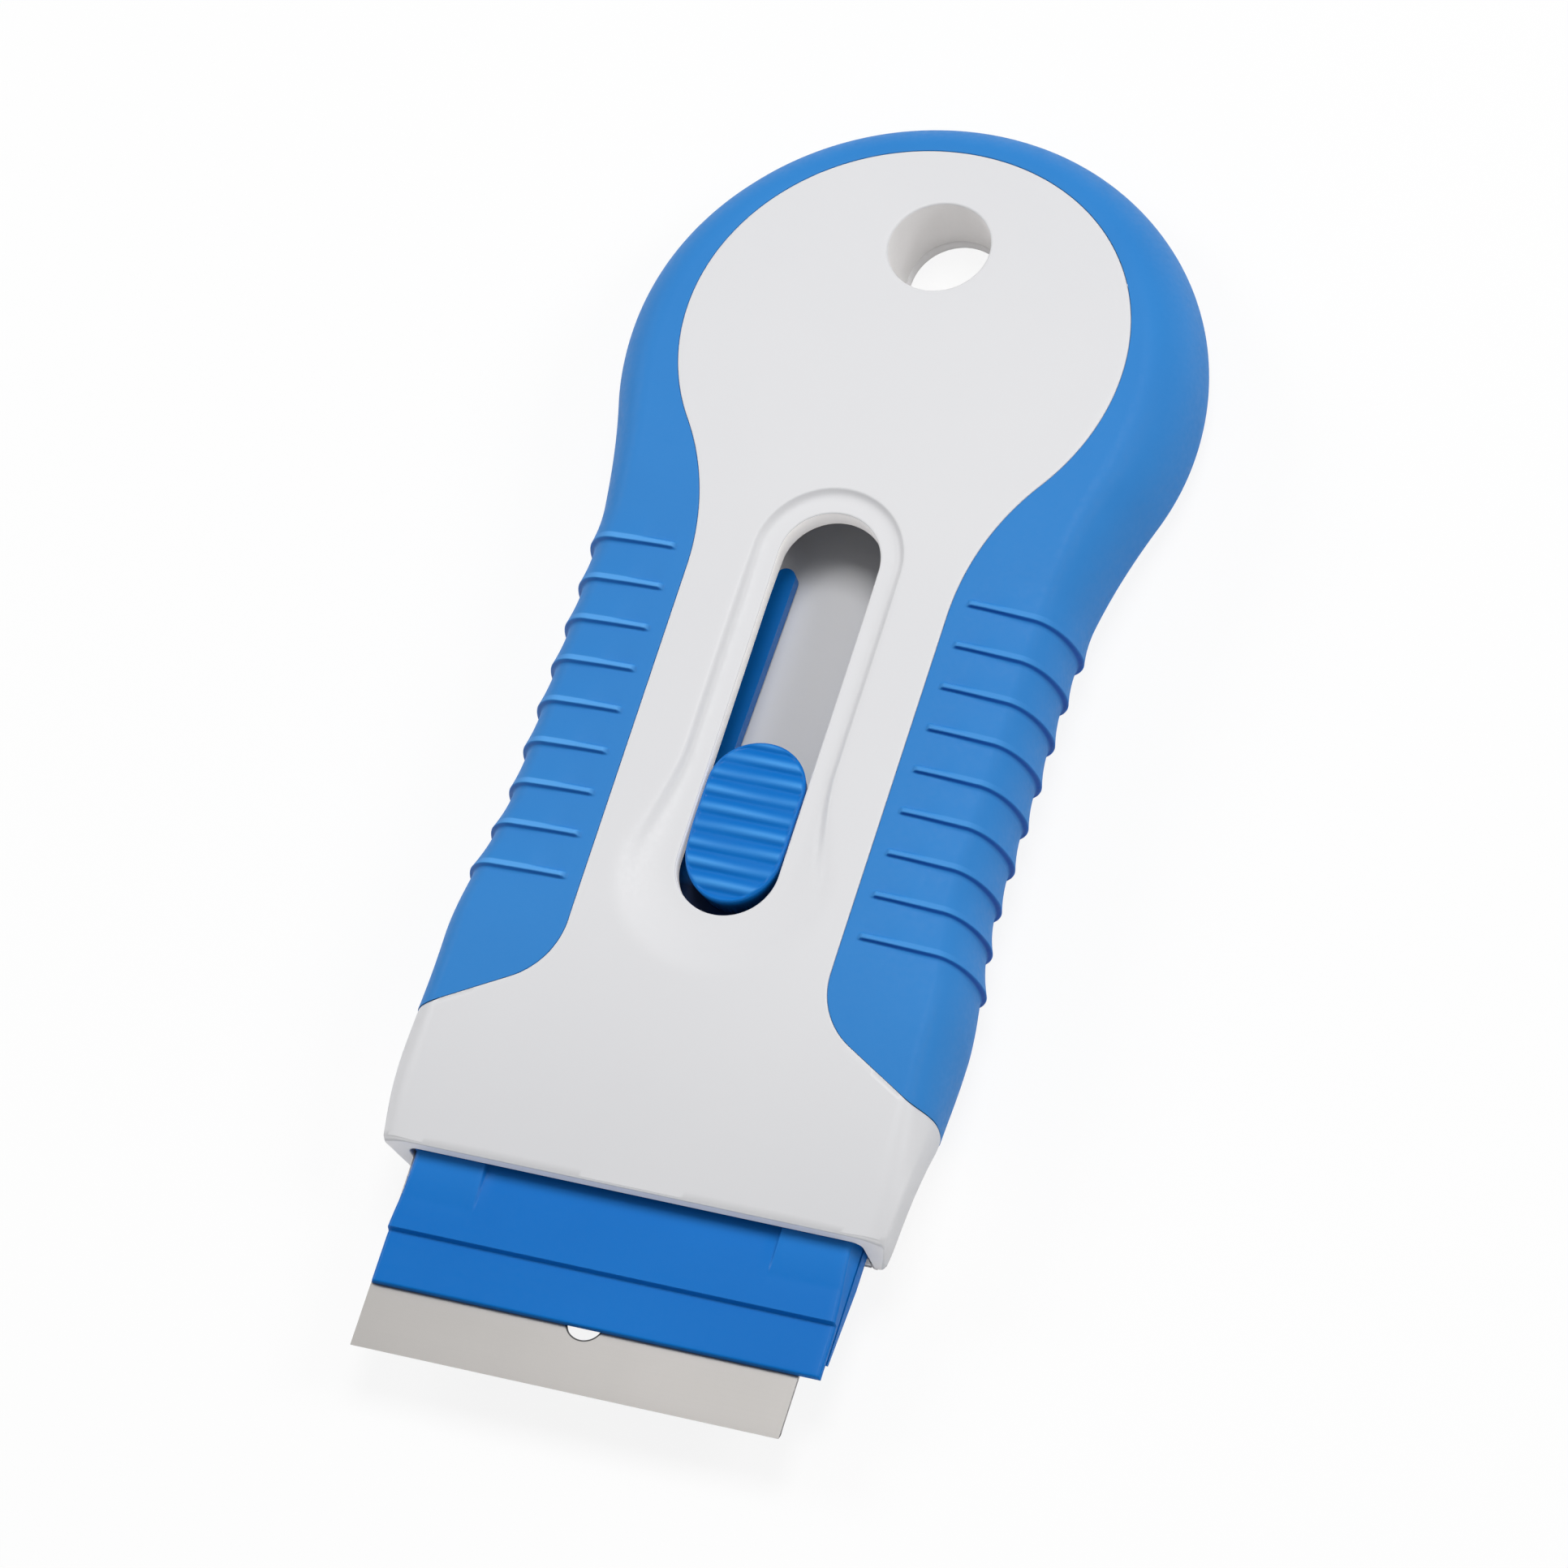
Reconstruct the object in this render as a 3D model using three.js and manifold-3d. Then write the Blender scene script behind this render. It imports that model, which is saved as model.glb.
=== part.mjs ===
// A pocket glue scraper with a sliding blade carriage.
// Millimetres. The scraper lies on its back: +Z leaves the front face, the blade points to -Y.
// While the pieces are drawn, y = 0 is the mouth that the blade holder slides out of.

import * as THREE from 'three';
import { mergeVertices } from 'three/addons/utils/BufferGeometryUtils.js';
import Module from 'manifold-3d';

const wasm = await Module();
wasm.setup();

// Blade
const bladeWidth = 39;
const bladeDepth = 18.2;
const bladeThickness = 0.35;
const bladeEdge = 0.07;
const bladeBevel = 1;
const bladeSidePlay = 1.05;
const bladeExposure = 5.8;
const bladeHoleSetback = 0.65;

// Clearances
const seatGap = 0.05;
const pinPlay = 0.15;
const bondGap = 0.2;
const runningGap = 0.25;
const fitGap = 0.3;
const slideGap = 0.45;

// Blade holder: lower jaw on the carrier, upper jaw on the clamp
const holderReach = 12;
const holderLip = 0.95;
const lowerJawSetback = 1.6;
const lowerJawTip = 0.3;
const lowerJawTaper = 7.4;
const lowerJawThickness = 1.4;
const stopBar = 1.8;
const stopBarRise = 1;
const clampStrip = 0.6;
const clampStripLength = 4.9;
const clampStep = 0.55;
const clampRampRise = 0.5;
const clampRampRun = 4.2;
const clampRampFlat = 2.4;
const clampRampWidth = 7;
const locatingPinRadius = 0.45;
const clampPegRadius = 0.9;
const clampPegSpread = 10;
const pegWall = 0.35;
const shoulderBesidePeg = 4;

// Carrier stem, spring arms and button
const stemHalf = 6.2;
const stemThickness = 2.9;
const armWidth = 2;
const armThickness = 1.3;
const armReach = 18.6;
const detentBump = 0.6;
const detentSlack = 0.1;
const detentNotchRadius = 0.45;
const detentSetback = 1.6;
const buttonLength = 15;
const buttonRise = 1.05;
const buttonCrown = 0.45;
const buttonRidges = 9;
const buttonRidgeHeight = 0.28;
const buttonPegRadius = 1.1;
const buttonPegSpread = 3.8;
const buttonPegDepth = 1.9;
const buttonLand = 0.9;

// Slot and the dish around it
const slotHalf = 4.55;
const slotLength = 38.5;
const slotFrontY = 25.6;
const slotStopGap = 0.95;
const dishWidth = 2;
const dishDepth = 1.76;
const dishFrontShare = 0.6;

// Shells
const floorThickness = 1.4;
const trackHeight = 2.35;
const trackSetback = 1;
const headroom = 1.8;
const shellWall = 1.2;
const lipThickness = 1.2;
const noseWall = 2.7;
const mouthTaper = 0.9;
const mouthTaperRun = 8;
const waistPinch = 1.75;
const flareAhead = 5.4;
const flareBehind = 9.6;
const waistToSlotEnd = 12.1;
const tailSwell = 4.15;
const holeToTailCentre = 12.1;
const noseArchRun = 25;
const noseLiftRun = 22;
const tailArchAhead = 31.5;
const tailDrop = 2.36;
const sideRound = 2.8;
const tailRoundGain = 1.7;
const widestShare = 0.46;
const noseWidestRise = 0.38;
const tailWidestFall = 0.2;
const railWidth = 0.9;
const railRise = 1.25;
const rimRing = 2;
const armToTube = 3.7;

// Hang hole and screws
const hangHoleRadius = 4.7;
const rearHoleStep = 0.45;
const tubeWall = 1.3;
const screwShankRadius = 0.95;
const screwHeadRadius = 1.9;
const screwHeadDepth = 0.95;
const screwSink = 0.12;
const screwGrip = 4.6;
const screwTip = 1;
const driveSlotLength = 2.4;
const driveSlotWidth = 0.5;
const driveSlotDepth = 0.6;
const bossRadius = 2;
const bossBehindShoulder = 3.6;
const tailScrewSpread = 12.5;
const tailScrewBehindCentre = 0.6;

// Soft grip
const gripCap = 1.7;
const gripSide = 1.6;
const gripLand = 0.4;
const tailBand = 6.1;
const panelBehindTail = 1.9;
const neckToSlotEnd = 8.1;
const neckMargin = 0.5;
const gripBehindTaper = 3.15;
const gripFrontSlope = 29.6;
const gripFrontFillet = 6.9;
const gripLevelBehind = 2.1;
const ribCount = 9;
const ribPitch = 4.05;
const ribBehindSlotFront = 0.3;
const ribInset = 1.65;
const ribTopHeight = 0.4;
const ribSideHeight = 0.75;

// Mesh steps
const roundSteps = 20;
const smallRoundSteps = 12;
const tailSteps = 12;
const flareSteps = 6;
const shoulderSteps = 5;
const archSteps = 6;
const bulbSteps = 4;
const noseSteps = 3;
const filletSteps = 4;
const slantSteps = 5;
const edgeAngles = [90, 60, 30, 0, -30, -60, -90];
const pastFace = 1;

// Heights, from the flat back upwards
const trackZ = floorThickness + trackHeight;
const carrierZ = trackZ + runningGap;
const stemZ = carrierZ + stemThickness;
const armZ = carrierZ + armThickness;
const ceilingDrop = gripCap + shellWall;
const bodyHeight = stemZ + headroom + ceilingDrop;
const bladeZ = carrierZ + lowerJawThickness + seatGap;
const barZ = bladeZ + stopBarRise;
const clampZ = bladeZ + bladeThickness + seatGap;
const stripZ = clampZ + clampStrip;
const plateZ = stripZ + clampStep;
const rampZ = plateZ + clampRampRise;
const mouthZ = rampZ + runningGap;
const noseDrop = bodyHeight - mouthZ - lipThickness;
const noseLift = carrierZ - slideGap - floorThickness;

// Places along the length
const clampFrontY = -holderReach;
const edgeY = clampFrontY - bladeExposure;
const bladeRearY = edgeY + bladeDepth;
const stopY = bladeRearY + bondGap;
const holderRearY = stopY + stopBar;
const pegHoleRadius = clampPegRadius + runningGap;
const clampPegY = holderRearY + pegWall + pegHoleRadius;
const shoulderRearY = clampPegY + pegHoleRadius + pegWall;
const holeInBladeY = clampFrontY + bladeHoleSetback;
const slotRearY = slotFrontY + slotLength;
const buttonFrontY = slotFrontY + slotStopGap;
const buttonRearY = buttonFrontY + buttonLength;
const buttonMiddleY = (buttonFrontY + buttonRearY) / 2;
const travel = slotRearY - slotStopGap - buttonRearY;
const stemRearY = buttonRearY + buttonLand;
const armEndY = buttonRearY + armReach;
const detentY = armEndY - detentSetback;
const pocketEndY = holderRearY + travel + slideGap;
const trackFrontY = shoulderRearY + travel + trackSetback;
const neckScrewY = shoulderRearY + travel + slideGap + bossBehindShoulder + bossRadius;
const tubeRadius = hangHoleRadius + tubeWall;
const holeY = armEndY + travel + armToTube + tubeRadius;
const trackEndY = holeY - tubeRadius - trackSetback;
const tailCentreY = holeY - holeToTailCentre;
const tailArchY = holeY - tailArchAhead;
const flareFrontY = pocketEndY - flareAhead;
const flareEndY = pocketEndY + flareBehind;
const waistEndY = slotRearY - waistToSlotEnd;
const neckEndY = slotRearY - neckToSlotEnd;

// Half widths
const holderHalf = bladeWidth / 2 + holderLip;
const shoulderHalf = clampPegSpread + shoulderBesidePeg;
const pocketHalf = bladeWidth / 2 + Math.max(holderLip, bladeSidePlay) + slideGap;
const noseHalf = pocketHalf + noseWall;
const waistHalf = noseHalf - waistPinch;
const tailRadius = waistHalf + tailSwell;
const tailY = tailCentreY + tailRadius;
const wideX = tailRadius + pastFace;
const buttonHalf = slotHalf - fitGap;
const railInner = stemHalf + fitGap;
const railOuter = railInner + railWidth;
const neckScrewX = railOuter + bondGap + bossRadius;
const neckHalf = neckScrewX + screwHeadRadius + neckMargin;
const panelRadius = tailRadius - tailBand;
const panelCentreY = tailCentreY + panelBehindTail;
const cavityInset = gripSide + shellWall;
const bladeHoleRadius = locatingPinRadius + bladeSidePlay + pinPlay;
const screwHoleRadius = screwShankRadius + bondGap;

// Front edge of the grip: a slanted line from the side to a fillet that runs into the neck
const slope = THREE.MathUtils.degToRad(gripFrontSlope);
const gripTipY = mouthTaperRun + gripBehindTaper;
const filletX = neckHalf + gripFrontFillet;
const slantRise = (noseHalf - filletX) * Math.tan(slope);
const filletY = gripTipY + slantRise + gripFrontFillet / Math.cos(slope);
const filletFootY = filletY - gripFrontFillet * Math.cos(slope);
const gripLevelY = filletY + gripLevelBehind;

const screwPlaces = [
  [neckScrewX, neckScrewY],
  [-neckScrewX, neckScrewY],
  [tailScrewSpread, tailCentreY + tailScrewBehindCentre],
  [-tailScrewSpread, tailCentreY + tailScrewBehindCentre],
];

// Dish wall from the slot's rim outwards: share of its width, share of its depth; the last ring is in the air
const dishProfile = [[0, 0], [0.55, 0.12], [0.88, 0.45], [1, 1], [1, 2]];

// Each rib: distance behind its crest, share of its height; steep towards the blade, easy towards the tail
const ribProfile = [[-0.15, 0], [0, 1], [1.1, 0.45], [2.5, 0.12]];

// Even steps from one value to another, both ends included
function steps(from, to, count) {
  return Array.from({ length: count + 1 }, (_, i) => from + ((to - from) * i) / count);
}

// Front and back faces: both arch towards the mouth, and the front also falls towards the tail
function topZ(y) {
  const nose = Math.max(0, noseArchRun - y) / noseArchRun;
  const tail = Math.max(0, y - tailArchY) / tailArchAhead;
  return bodyHeight - noseDrop * nose ** 2 - tailDrop * tail ** 2;
}

function backZ(y) {
  const nose = Math.max(0, noseLiftRun - y) / noseLiftRun;
  return noseLift * nose ** 2;
}

const below = (drop) => (y) => topZ(y) - drop;
const above = (rise) => (y) => backZ(y) + rise;

// How far along the swell from the waist to the widest line of the tail, from 0 to 1
function swellShare(y) {
  return THREE.MathUtils.smoothstep(y, waistEndY, tailCentreY);
}

// Height on the rounded side: two quarter ellipses meet on the widest line, which falls from nose to tail
function edgeZ(y, angle) {
  const nose = Math.max(0, noseArchRun - y) / noseArchRun;
  const share = widestShare + noseWidestRise * nose ** 2 - tailWidestFall * swellShare(y);
  const widest = THREE.MathUtils.lerp(backZ(y), topZ(y), share);
  const reach = angle > 0 ? topZ(y) - widest : widest - backZ(y);
  return widest + reach * Math.sin(angle);
}

// A straight side of the given half width, and a round end, joined by a hollow shoulder that touches both
function shoulder(half, startY, radius, centreY) {
  const run = centreY - startY;
  const round = (run ** 2 - radius ** 2 + half ** 2) / (2 * (radius - half));
  const meetY = centreY - (radius * run) / (radius + round);
  return (y) => {
    if (y <= startY) return half;
    if (y <= meetY) return half + round - Math.sqrt(round ** 2 - (y - startY) ** 2);
    return Math.sqrt(Math.max(0, radius ** 2 - (y - centreY) ** 2));
  };
}

const bodySide = shoulder(waistHalf, waistEndY, tailRadius, tailCentreY);

// Half width of the whole body, from the mouth to the widest line of the tail
function bodyHalf(y) {
  if (y < mouthTaperRun) return noseHalf - mouthTaper * (1 - y / mouthTaperRun) ** 2;
  if (y > flareEndY) return bodySide(y);
  return noseHalf - waistPinch * THREE.MathUtils.smoothstep(y, flareFrontY, flareEndY);
}

// Half width of the white panel between the grip's two arms, grown by a gap
function panelHalf(y, gap) {
  if (y < filletY) return filletX - Math.sqrt((gripFrontFillet - gap) ** 2 - (filletY - y) ** 2);
  return shoulder(neckHalf + gap, neckEndY, panelRadius + gap, panelCentreY)(y);
}

function onCircle(radius, centreY, angle) {
  return new THREE.Vector2(radius * Math.cos(angle), centreY + radius * Math.sin(angle));
}

// Right-hand points and a round tail end, mirrored into one closed outline
function mirrored(side, radius, centreY) {
  const angles = steps(0, Math.PI / 2, tailSteps).slice(1, -1);
  const right = [...side, ...angles.map((angle) => onCircle(radius, centreY, angle))];
  const left = right.map((p) => new THREE.Vector2(-p.x, p.y)).reverse();
  return new THREE.Shape([...right, ...left]);
}

// Plan outline of the body, drawn in by an inset, from frontY to the tail
function bodyOutline(inset, frontY) {
  const flare = steps(flareFrontY, flareEndY, flareSteps);
  const swell = steps(waistEndY, tailCentreY, shoulderSteps);
  const stations = [frontY, ...flare, ...swell];
  const side = stations.map((y) => new THREE.Vector2(bodyHalf(y) - inset, y));
  return mirrored(side, tailRadius - inset, tailCentreY);
}

// Plan outline of the white panel, grown by a gap: the whole nose, the neck and the round tail
function panelOutline(gap, noseSide) {
  const footY = filletY - (gripFrontFillet - gap) * Math.cos(slope);
  const footX = filletX - (gripFrontFillet - gap) * Math.sin(slope);
  const sideY = footY - (noseSide - footX) * Math.tan(slope);
  const nose = [new THREE.Vector2(noseSide, -pastFace), new THREE.Vector2(noseSide, sideY)];
  const fillet = steps(footY, filletY, filletSteps);
  const neck = steps(neckEndY, panelCentreY, shoulderSteps);
  const side = [...fillet, ...neck].map((y) => new THREE.Vector2(panelHalf(y, gap), y));
  return mirrored([...nose, ...side], panelRadius + gap, panelCentreY);
}

// Long hole with round ends
function slotOutline(half, frontY, rearY) {
  const shape = new THREE.Shape();
  shape.absarc(0, frontY + half, half, Math.PI, 2 * Math.PI, false);
  shape.absarc(0, rearY - half, half, 0, Math.PI, false);
  return shape;
}

// A closed geometry as a solid that can be joined and cut
function solid(geometry) {
  const bare = geometry.index ? geometry.toNonIndexed() : geometry.clone();
  bare.deleteAttribute('normal');
  bare.deleteAttribute('uv');
  const merged = mergeVertices(bare);
  const vertProperties = merged.attributes.position.array;
  const triVerts = new Uint32Array(merged.index.array);
  return new wasm.Manifold(new wasm.Mesh({ numProp: 3, vertProperties, triVerts }));
}

function geometryOf(made) {
  const { vertProperties, triVerts } = made.getMesh();
  const geometry = new THREE.BufferGeometry();
  geometry.setAttribute('position', new THREE.BufferAttribute(vertProperties, 3));
  geometry.setIndex(new THREE.BufferAttribute(triVerts, 1));
  geometry.computeVertexNormals();
  return geometry;
}

// A plan outline carried upwards
function upright(shape, lowZ, highZ) {
  const settings = { depth: highZ - lowZ, bevelEnabled: false, curveSegments: roundSteps };
  return solid(new THREE.ExtrudeGeometry(shape, settings).translate(0, 0, lowZ));
}

// A side profile in y and z, carried across the width
function across(points, leftX, rightX) {
  const settings = { depth: rightX - leftX, bevelEnabled: false };
  const turn = new THREE.Matrix4().makeBasis(
    new THREE.Vector3(0, 1, 0),
    new THREE.Vector3(0, 0, 1),
    new THREE.Vector3(1, 0, 0),
  );
  const geometry = new THREE.ExtrudeGeometry(new THREE.Shape(points), settings).applyMatrix4(turn);
  return solid(geometry.translate(leftX, 0, 0));
}

function profile(pairs) {
  return pairs.map(([y, z]) => new THREE.Vector2(y, z));
}

// A slab across the whole width, between two heights that change along the length
function slab(frontY, rearY, lowZ, highZ) {
  const bends = [...steps(0, noseArchRun, archSteps), ...steps(tailArchY, tailY, archSteps)];
  const stations = [frontY, ...bends.filter((y) => y > frontY && y < rearY), rearY];
  const high = stations.map((y) => [y, highZ(y)]);
  const low = stations.map((y) => [y, lowZ(y)]).reverse();
  return across(profile([...high, ...low]), -wideX, wideX);
}

function block(leftX, rightX, frontY, rearY, lowZ, highZ) {
  const geometry = new THREE.BoxGeometry(rightX - leftX, rearY - frontY, highZ - lowZ);
  return solid(geometry.translate((leftX + rightX) / 2, (frontY + rearY) / 2, (lowZ + highZ) / 2));
}

// A round post or bore that stands upright
function post(x, y, radius, lowZ, highZ, sides = smallRoundSteps, topRadius = radius) {
  const geometry = new THREE.CylinderGeometry(topRadius, radius, highZ - lowZ, sides);
  return solid(geometry.rotateX(Math.PI / 2).translate(x, y, (lowZ + highZ) / 2));
}

// A closed skin through rings of equal length, capped at both ends; flatten lays a ring's points in a plane
function skin(rings, flatten) {
  const size = rings[0].length;
  const index = [];
  for (let r = 0; r + 1 < rings.length; r++) {
    for (let i = 0; i < size; i++) {
      const a = r * size + i;
      const b = r * size + ((i + 1) % size);
      index.push(a, b, a + size, b, b + size, a + size);
    }
  }
  const last = (rings.length - 1) * size;
  const flat = rings[0].map(flatten);
  const clockwise = THREE.ShapeUtils.isClockWise(flat);
  for (const face of THREE.ShapeUtils.triangulateShape(flat, [])) {
    const [a, b, c] = clockwise ? face.reverse() : face;
    index.push(a, c, b);
    index.push(last + a, last + b, last + c);
  }
  const points = rings.flat();
  let volume = 0;
  for (let i = 0; i < index.length; i += 3) {
    const [a, b, c] = [points[index[i]], points[index[i + 1]], points[index[i + 2]]];
    volume += a.dot(b.clone().cross(c));
  }
  const geometry = new THREE.BufferGeometry().setFromPoints(points);
  geometry.setIndex(volume < 0 ? index.reverse() : index);
  geometry.computeVertexNormals();
  return geometry;
}

// The white nose with its rounded sides
function nose() {
  const stations = [...steps(0, mouthTaperRun, noseSteps), ...steps(gripTipY, gripLevelY, filletSteps)];
  const rings = stations.map((y) => {
    const right = edgeAngles.map((degrees) => {
      const angle = THREE.MathUtils.degToRad(degrees);
      const x = bodyHalf(y) - sideRound * (1 - Math.cos(angle));
      return new THREE.Vector3(x, y, edgeZ(y, angle));
    });
    const left = right.map((p) => new THREE.Vector3(-p.x, p.y, p.z)).reverse();
    return [...right, ...left];
  });
  return solid(skin(rings, (p) => new THREE.Vector2(p.x, p.z)));
}

// Dish around the slot, deepest behind it and shallower at the front
function dish() {
  const rings = dishProfile.map(([out, up]) => {
    const grow = dishWidth * out;
    const outline = slotOutline(slotHalf + grow, slotFrontY - grow, slotRearY + grow);
    return outline.getPoints(roundSteps).slice(0, -1).map((p) => {
      const along = THREE.MathUtils.clamp((p.y - slotFrontY) / slotLength, 0, 1);
      const depth = dishDepth * THREE.MathUtils.lerp(dishFrontShare, 1, along);
      return new THREE.Vector3(p.x, p.y, topZ(p.y) - depth * (1 - up));
    });
  });
  return solid(skin(rings, (p) => new THREE.Vector2(p.x, p.y)));
}

// Front shell: panel, walls under the grip, mouth, slot, tube of the hang hole and screw bosses
function frontShell() {
  const panel = upright(panelOutline(0, wideX), -pastFace, bodyHeight + pastFace);
  const plate = slab(filletFootY, tailY, above(0), below(0));
  const coreSlab = slab(0, tailY, above(gripCap), below(gripCap));
  const core = upright(bodyOutline(gripSide, mouthTaperRun), 0, bodyHeight).intersect(coreSlab);
  const hollowSlab = slab(0, tailY, () => -pastFace, below(ceilingDrop));
  const hollowPlan = upright(bodyOutline(cavityInset, mouthTaperRun), -2 * pastFace, bodyHeight);
  const pocket = block(-pocketHalf, pocketHalf, -pastFace, pocketEndY, -pastFace, mouthZ);
  const slot = upright(slotOutline(slotHalf, slotFrontY, slotRearY), 0, bodyHeight + pastFace);
  let shell = nose().add(plate).intersect(panel).add(core);
  shell = shell.subtract(hollowPlan.intersect(hollowSlab)).subtract(pocket);
  shell = shell.subtract(slot).subtract(dish());
  const tubeTopZ = topZ(holeY + tubeRadius) - ceilingDrop / 2;
  shell = shell.add(post(0, holeY, tubeRadius, floorThickness + seatGap, tubeTopZ, roundSteps));
  for (const [x, y] of screwPlaces) {
    const bossTopZ = topZ(y) - ceilingDrop / 2;
    const pilotZ = floorThickness + screwGrip + screwTip;
    shell = shell.add(post(x, y, bossRadius, floorThickness + seatGap, bossTopZ));
    shell = shell.subtract(post(x, y, screwHoleRadius, 0, pilotZ));
  }
  return shell.subtract(post(0, holeY, hangHoleRadius, -pastFace, bodyHeight + pastFace, roundSteps));
}

// Rear cover: flat back plate with a rim, the floor that the carriage slides on, and its guide rails
function rearCover() {
  const rimZ = gripCap + shellWall;
  const noseSide = pocketHalf - fitGap;
  const plan = upright(panelOutline(-bondGap, noseSide), -pastFace, bodyHeight);
  const flange = upright(bodyOutline(cavityInset + fitGap, gripTipY), -pastFace, bodyHeight);
  const well = upright(panelOutline(-bondGap - rimRing, noseSide - rimRing), -pastFace, bodyHeight);
  const noseWell = block(-wideX, wideX, -pastFace, gripTipY, 0, bodyHeight);
  const overFloor = slab(-pastFace, tailY, above(floorThickness), above(bodyHeight));
  let cover = plan.intersect(slab(0, tailY, above(0), above(rimZ)));
  cover = cover.add(flange.intersect(slab(gripTipY, tailY, above(gripCap + bondGap), above(rimZ))));
  cover = cover.subtract(well.add(noseWell).intersect(overFloor));
  const joinZ = floorThickness / 2;
  cover = cover.add(block(-stemHalf, stemHalf, trackFrontY, trackEndY, joinZ, trackZ));
  for (const side of [1, -1]) {
    const ends = [side * railInner, side * railOuter];
    let rail = block(Math.min(...ends), Math.max(...ends), trackFrontY, trackEndY, joinZ, trackZ + railRise);
    for (const y of [detentY, detentY + travel / 2, detentY + travel]) {
      rail = rail.subtract(post(side * railInner, y, detentNotchRadius, trackZ, bodyHeight));
    }
    cover = cover.add(rail);
  }
  for (const [x, y] of screwPlaces) {
    const sinkRadius = screwHeadRadius + bondGap;
    const sinkZ = screwSink + screwHeadDepth;
    const sink = post(x, y, sinkRadius, screwSink, sinkZ, smallRoundSteps, screwHoleRadius);
    cover = cover.subtract(post(x, y, bossRadius + bondGap, floorThickness, bodyHeight));
    cover = cover.subtract(post(x, y, screwHoleRadius, -pastFace, bodyHeight));
    cover = cover.subtract(sink).subtract(post(x, y, sinkRadius, -pastFace, screwSink));
  }
  return cover.subtract(post(0, holeY, hangHoleRadius - rearHoleStep, -pastFace, bodyHeight, roundSteps));
}

// Stations of the grip's right side: a point on the panel's edge, one on the outer side, the rib's share
function gripStations() {
  const tipY = gripTipY + bondGap / Math.cos(slope);
  const footY = filletY - (gripFrontFillet - bondGap) * Math.cos(slope);
  const inner = (y) => new THREE.Vector2(panelHalf(y, bondGap), y);
  const outer = (y) => new THREE.Vector2(bodyHalf(y), y);
  const level = (y, rib) => ({ inner: inner(y), outer: outer(y), rib });
  const slanted = steps(0, 1, slantSteps).map((share) => ({
    inner: inner(THREE.MathUtils.lerp(footY, gripLevelY, share)),
    outer: outer(THREE.MathUtils.lerp(tipY, gripLevelY, share)),
    rib: 0,
  }));
  const ribs = [];
  const ribFrontY = Math.max(slotFrontY, gripLevelY) + ribBehindSlotFront;
  for (let i = 0; i < ribCount; i++) {
    for (const [behind, share] of ribProfile) ribs.push(level(ribFrontY + i * ribPitch + behind, share));
  }
  const ribEndY = ribFrontY + ribCount * ribPitch;
  const bulb = steps(ribEndY, tailCentreY, bulbSteps).map((y) => level(y, 0));
  const panelEdge = panelRadius + bondGap;
  const startAngle = Math.asin((tailCentreY - panelCentreY) / panelEdge);
  const round = steps(0, 1, tailSteps).slice(1).map((share) => ({
    inner: onCircle(panelEdge, panelCentreY, THREE.MathUtils.lerp(startAngle, Math.PI / 2, share)),
    outer: onCircle(tailRadius, tailCentreY, (share * Math.PI) / 2),
    rib: 0,
  }));
  return [...slanted, ...ribs, ...bulb, ...round];
}

// Section of the grip at a station: over the panel's edge, round the side, under the back, and round the core
function gripRing({ inner, outer, rib }) {
  const out = outer.clone().sub(inner);
  const length = out.length();
  out.normalize();
  const at = (distance) => inner.clone().addScaledVector(out, distance);
  const lift = (p, z) => new THREE.Vector3(p.x, p.y, z);
  const fullRound = sideRound + tailRoundGain * swellShare(outer.y);
  const round = Math.min(fullRound, length - gripLand);
  const edge = edgeAngles.map((degrees) => {
    const angle = THREE.MathUtils.degToRad(degrees);
    const base = at(length - round * (1 - Math.cos(angle)));
    const upper = THREE.MathUtils.lerp(ribSideHeight, ribTopHeight, Math.sin(angle));
    const height = rib * (degrees > 0 ? upper : ribSideHeight * Math.cos(angle));
    const spread = base.clone().addScaledVector(out, height * Math.cos(angle));
    return lift(spread, edgeZ(base.y, angle) + height * Math.sin(angle));
  });
  const ribStart = at(Math.min(ribInset, (length - round) / 2));
  const core = at(length - gripSide + bondGap);
  const cap = gripCap - bondGap;
  return [
    lift(inner, topZ(inner.y)),
    lift(ribStart, topZ(ribStart.y)),
    ...edge,
    lift(inner, backZ(inner.y)),
    lift(inner, backZ(inner.y) + cap),
    lift(core, backZ(core.y) + cap),
    lift(core, topZ(core.y) - cap),
    lift(inner, topZ(inner.y) - cap),
  ];
}

// Soft grip: one horseshoe that wraps the sides and the tail
function softGrip() {
  const right = gripStations().map(gripRing);
  const mirror = (ring) => ring.map((p) => new THREE.Vector3(-p.x, p.y, p.z));
  const left = right.slice(0, -1).reverse().map(mirror);
  return skin([...right, ...left], (p) => new THREE.Vector2(Math.abs(p.x), p.z));
}

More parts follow.
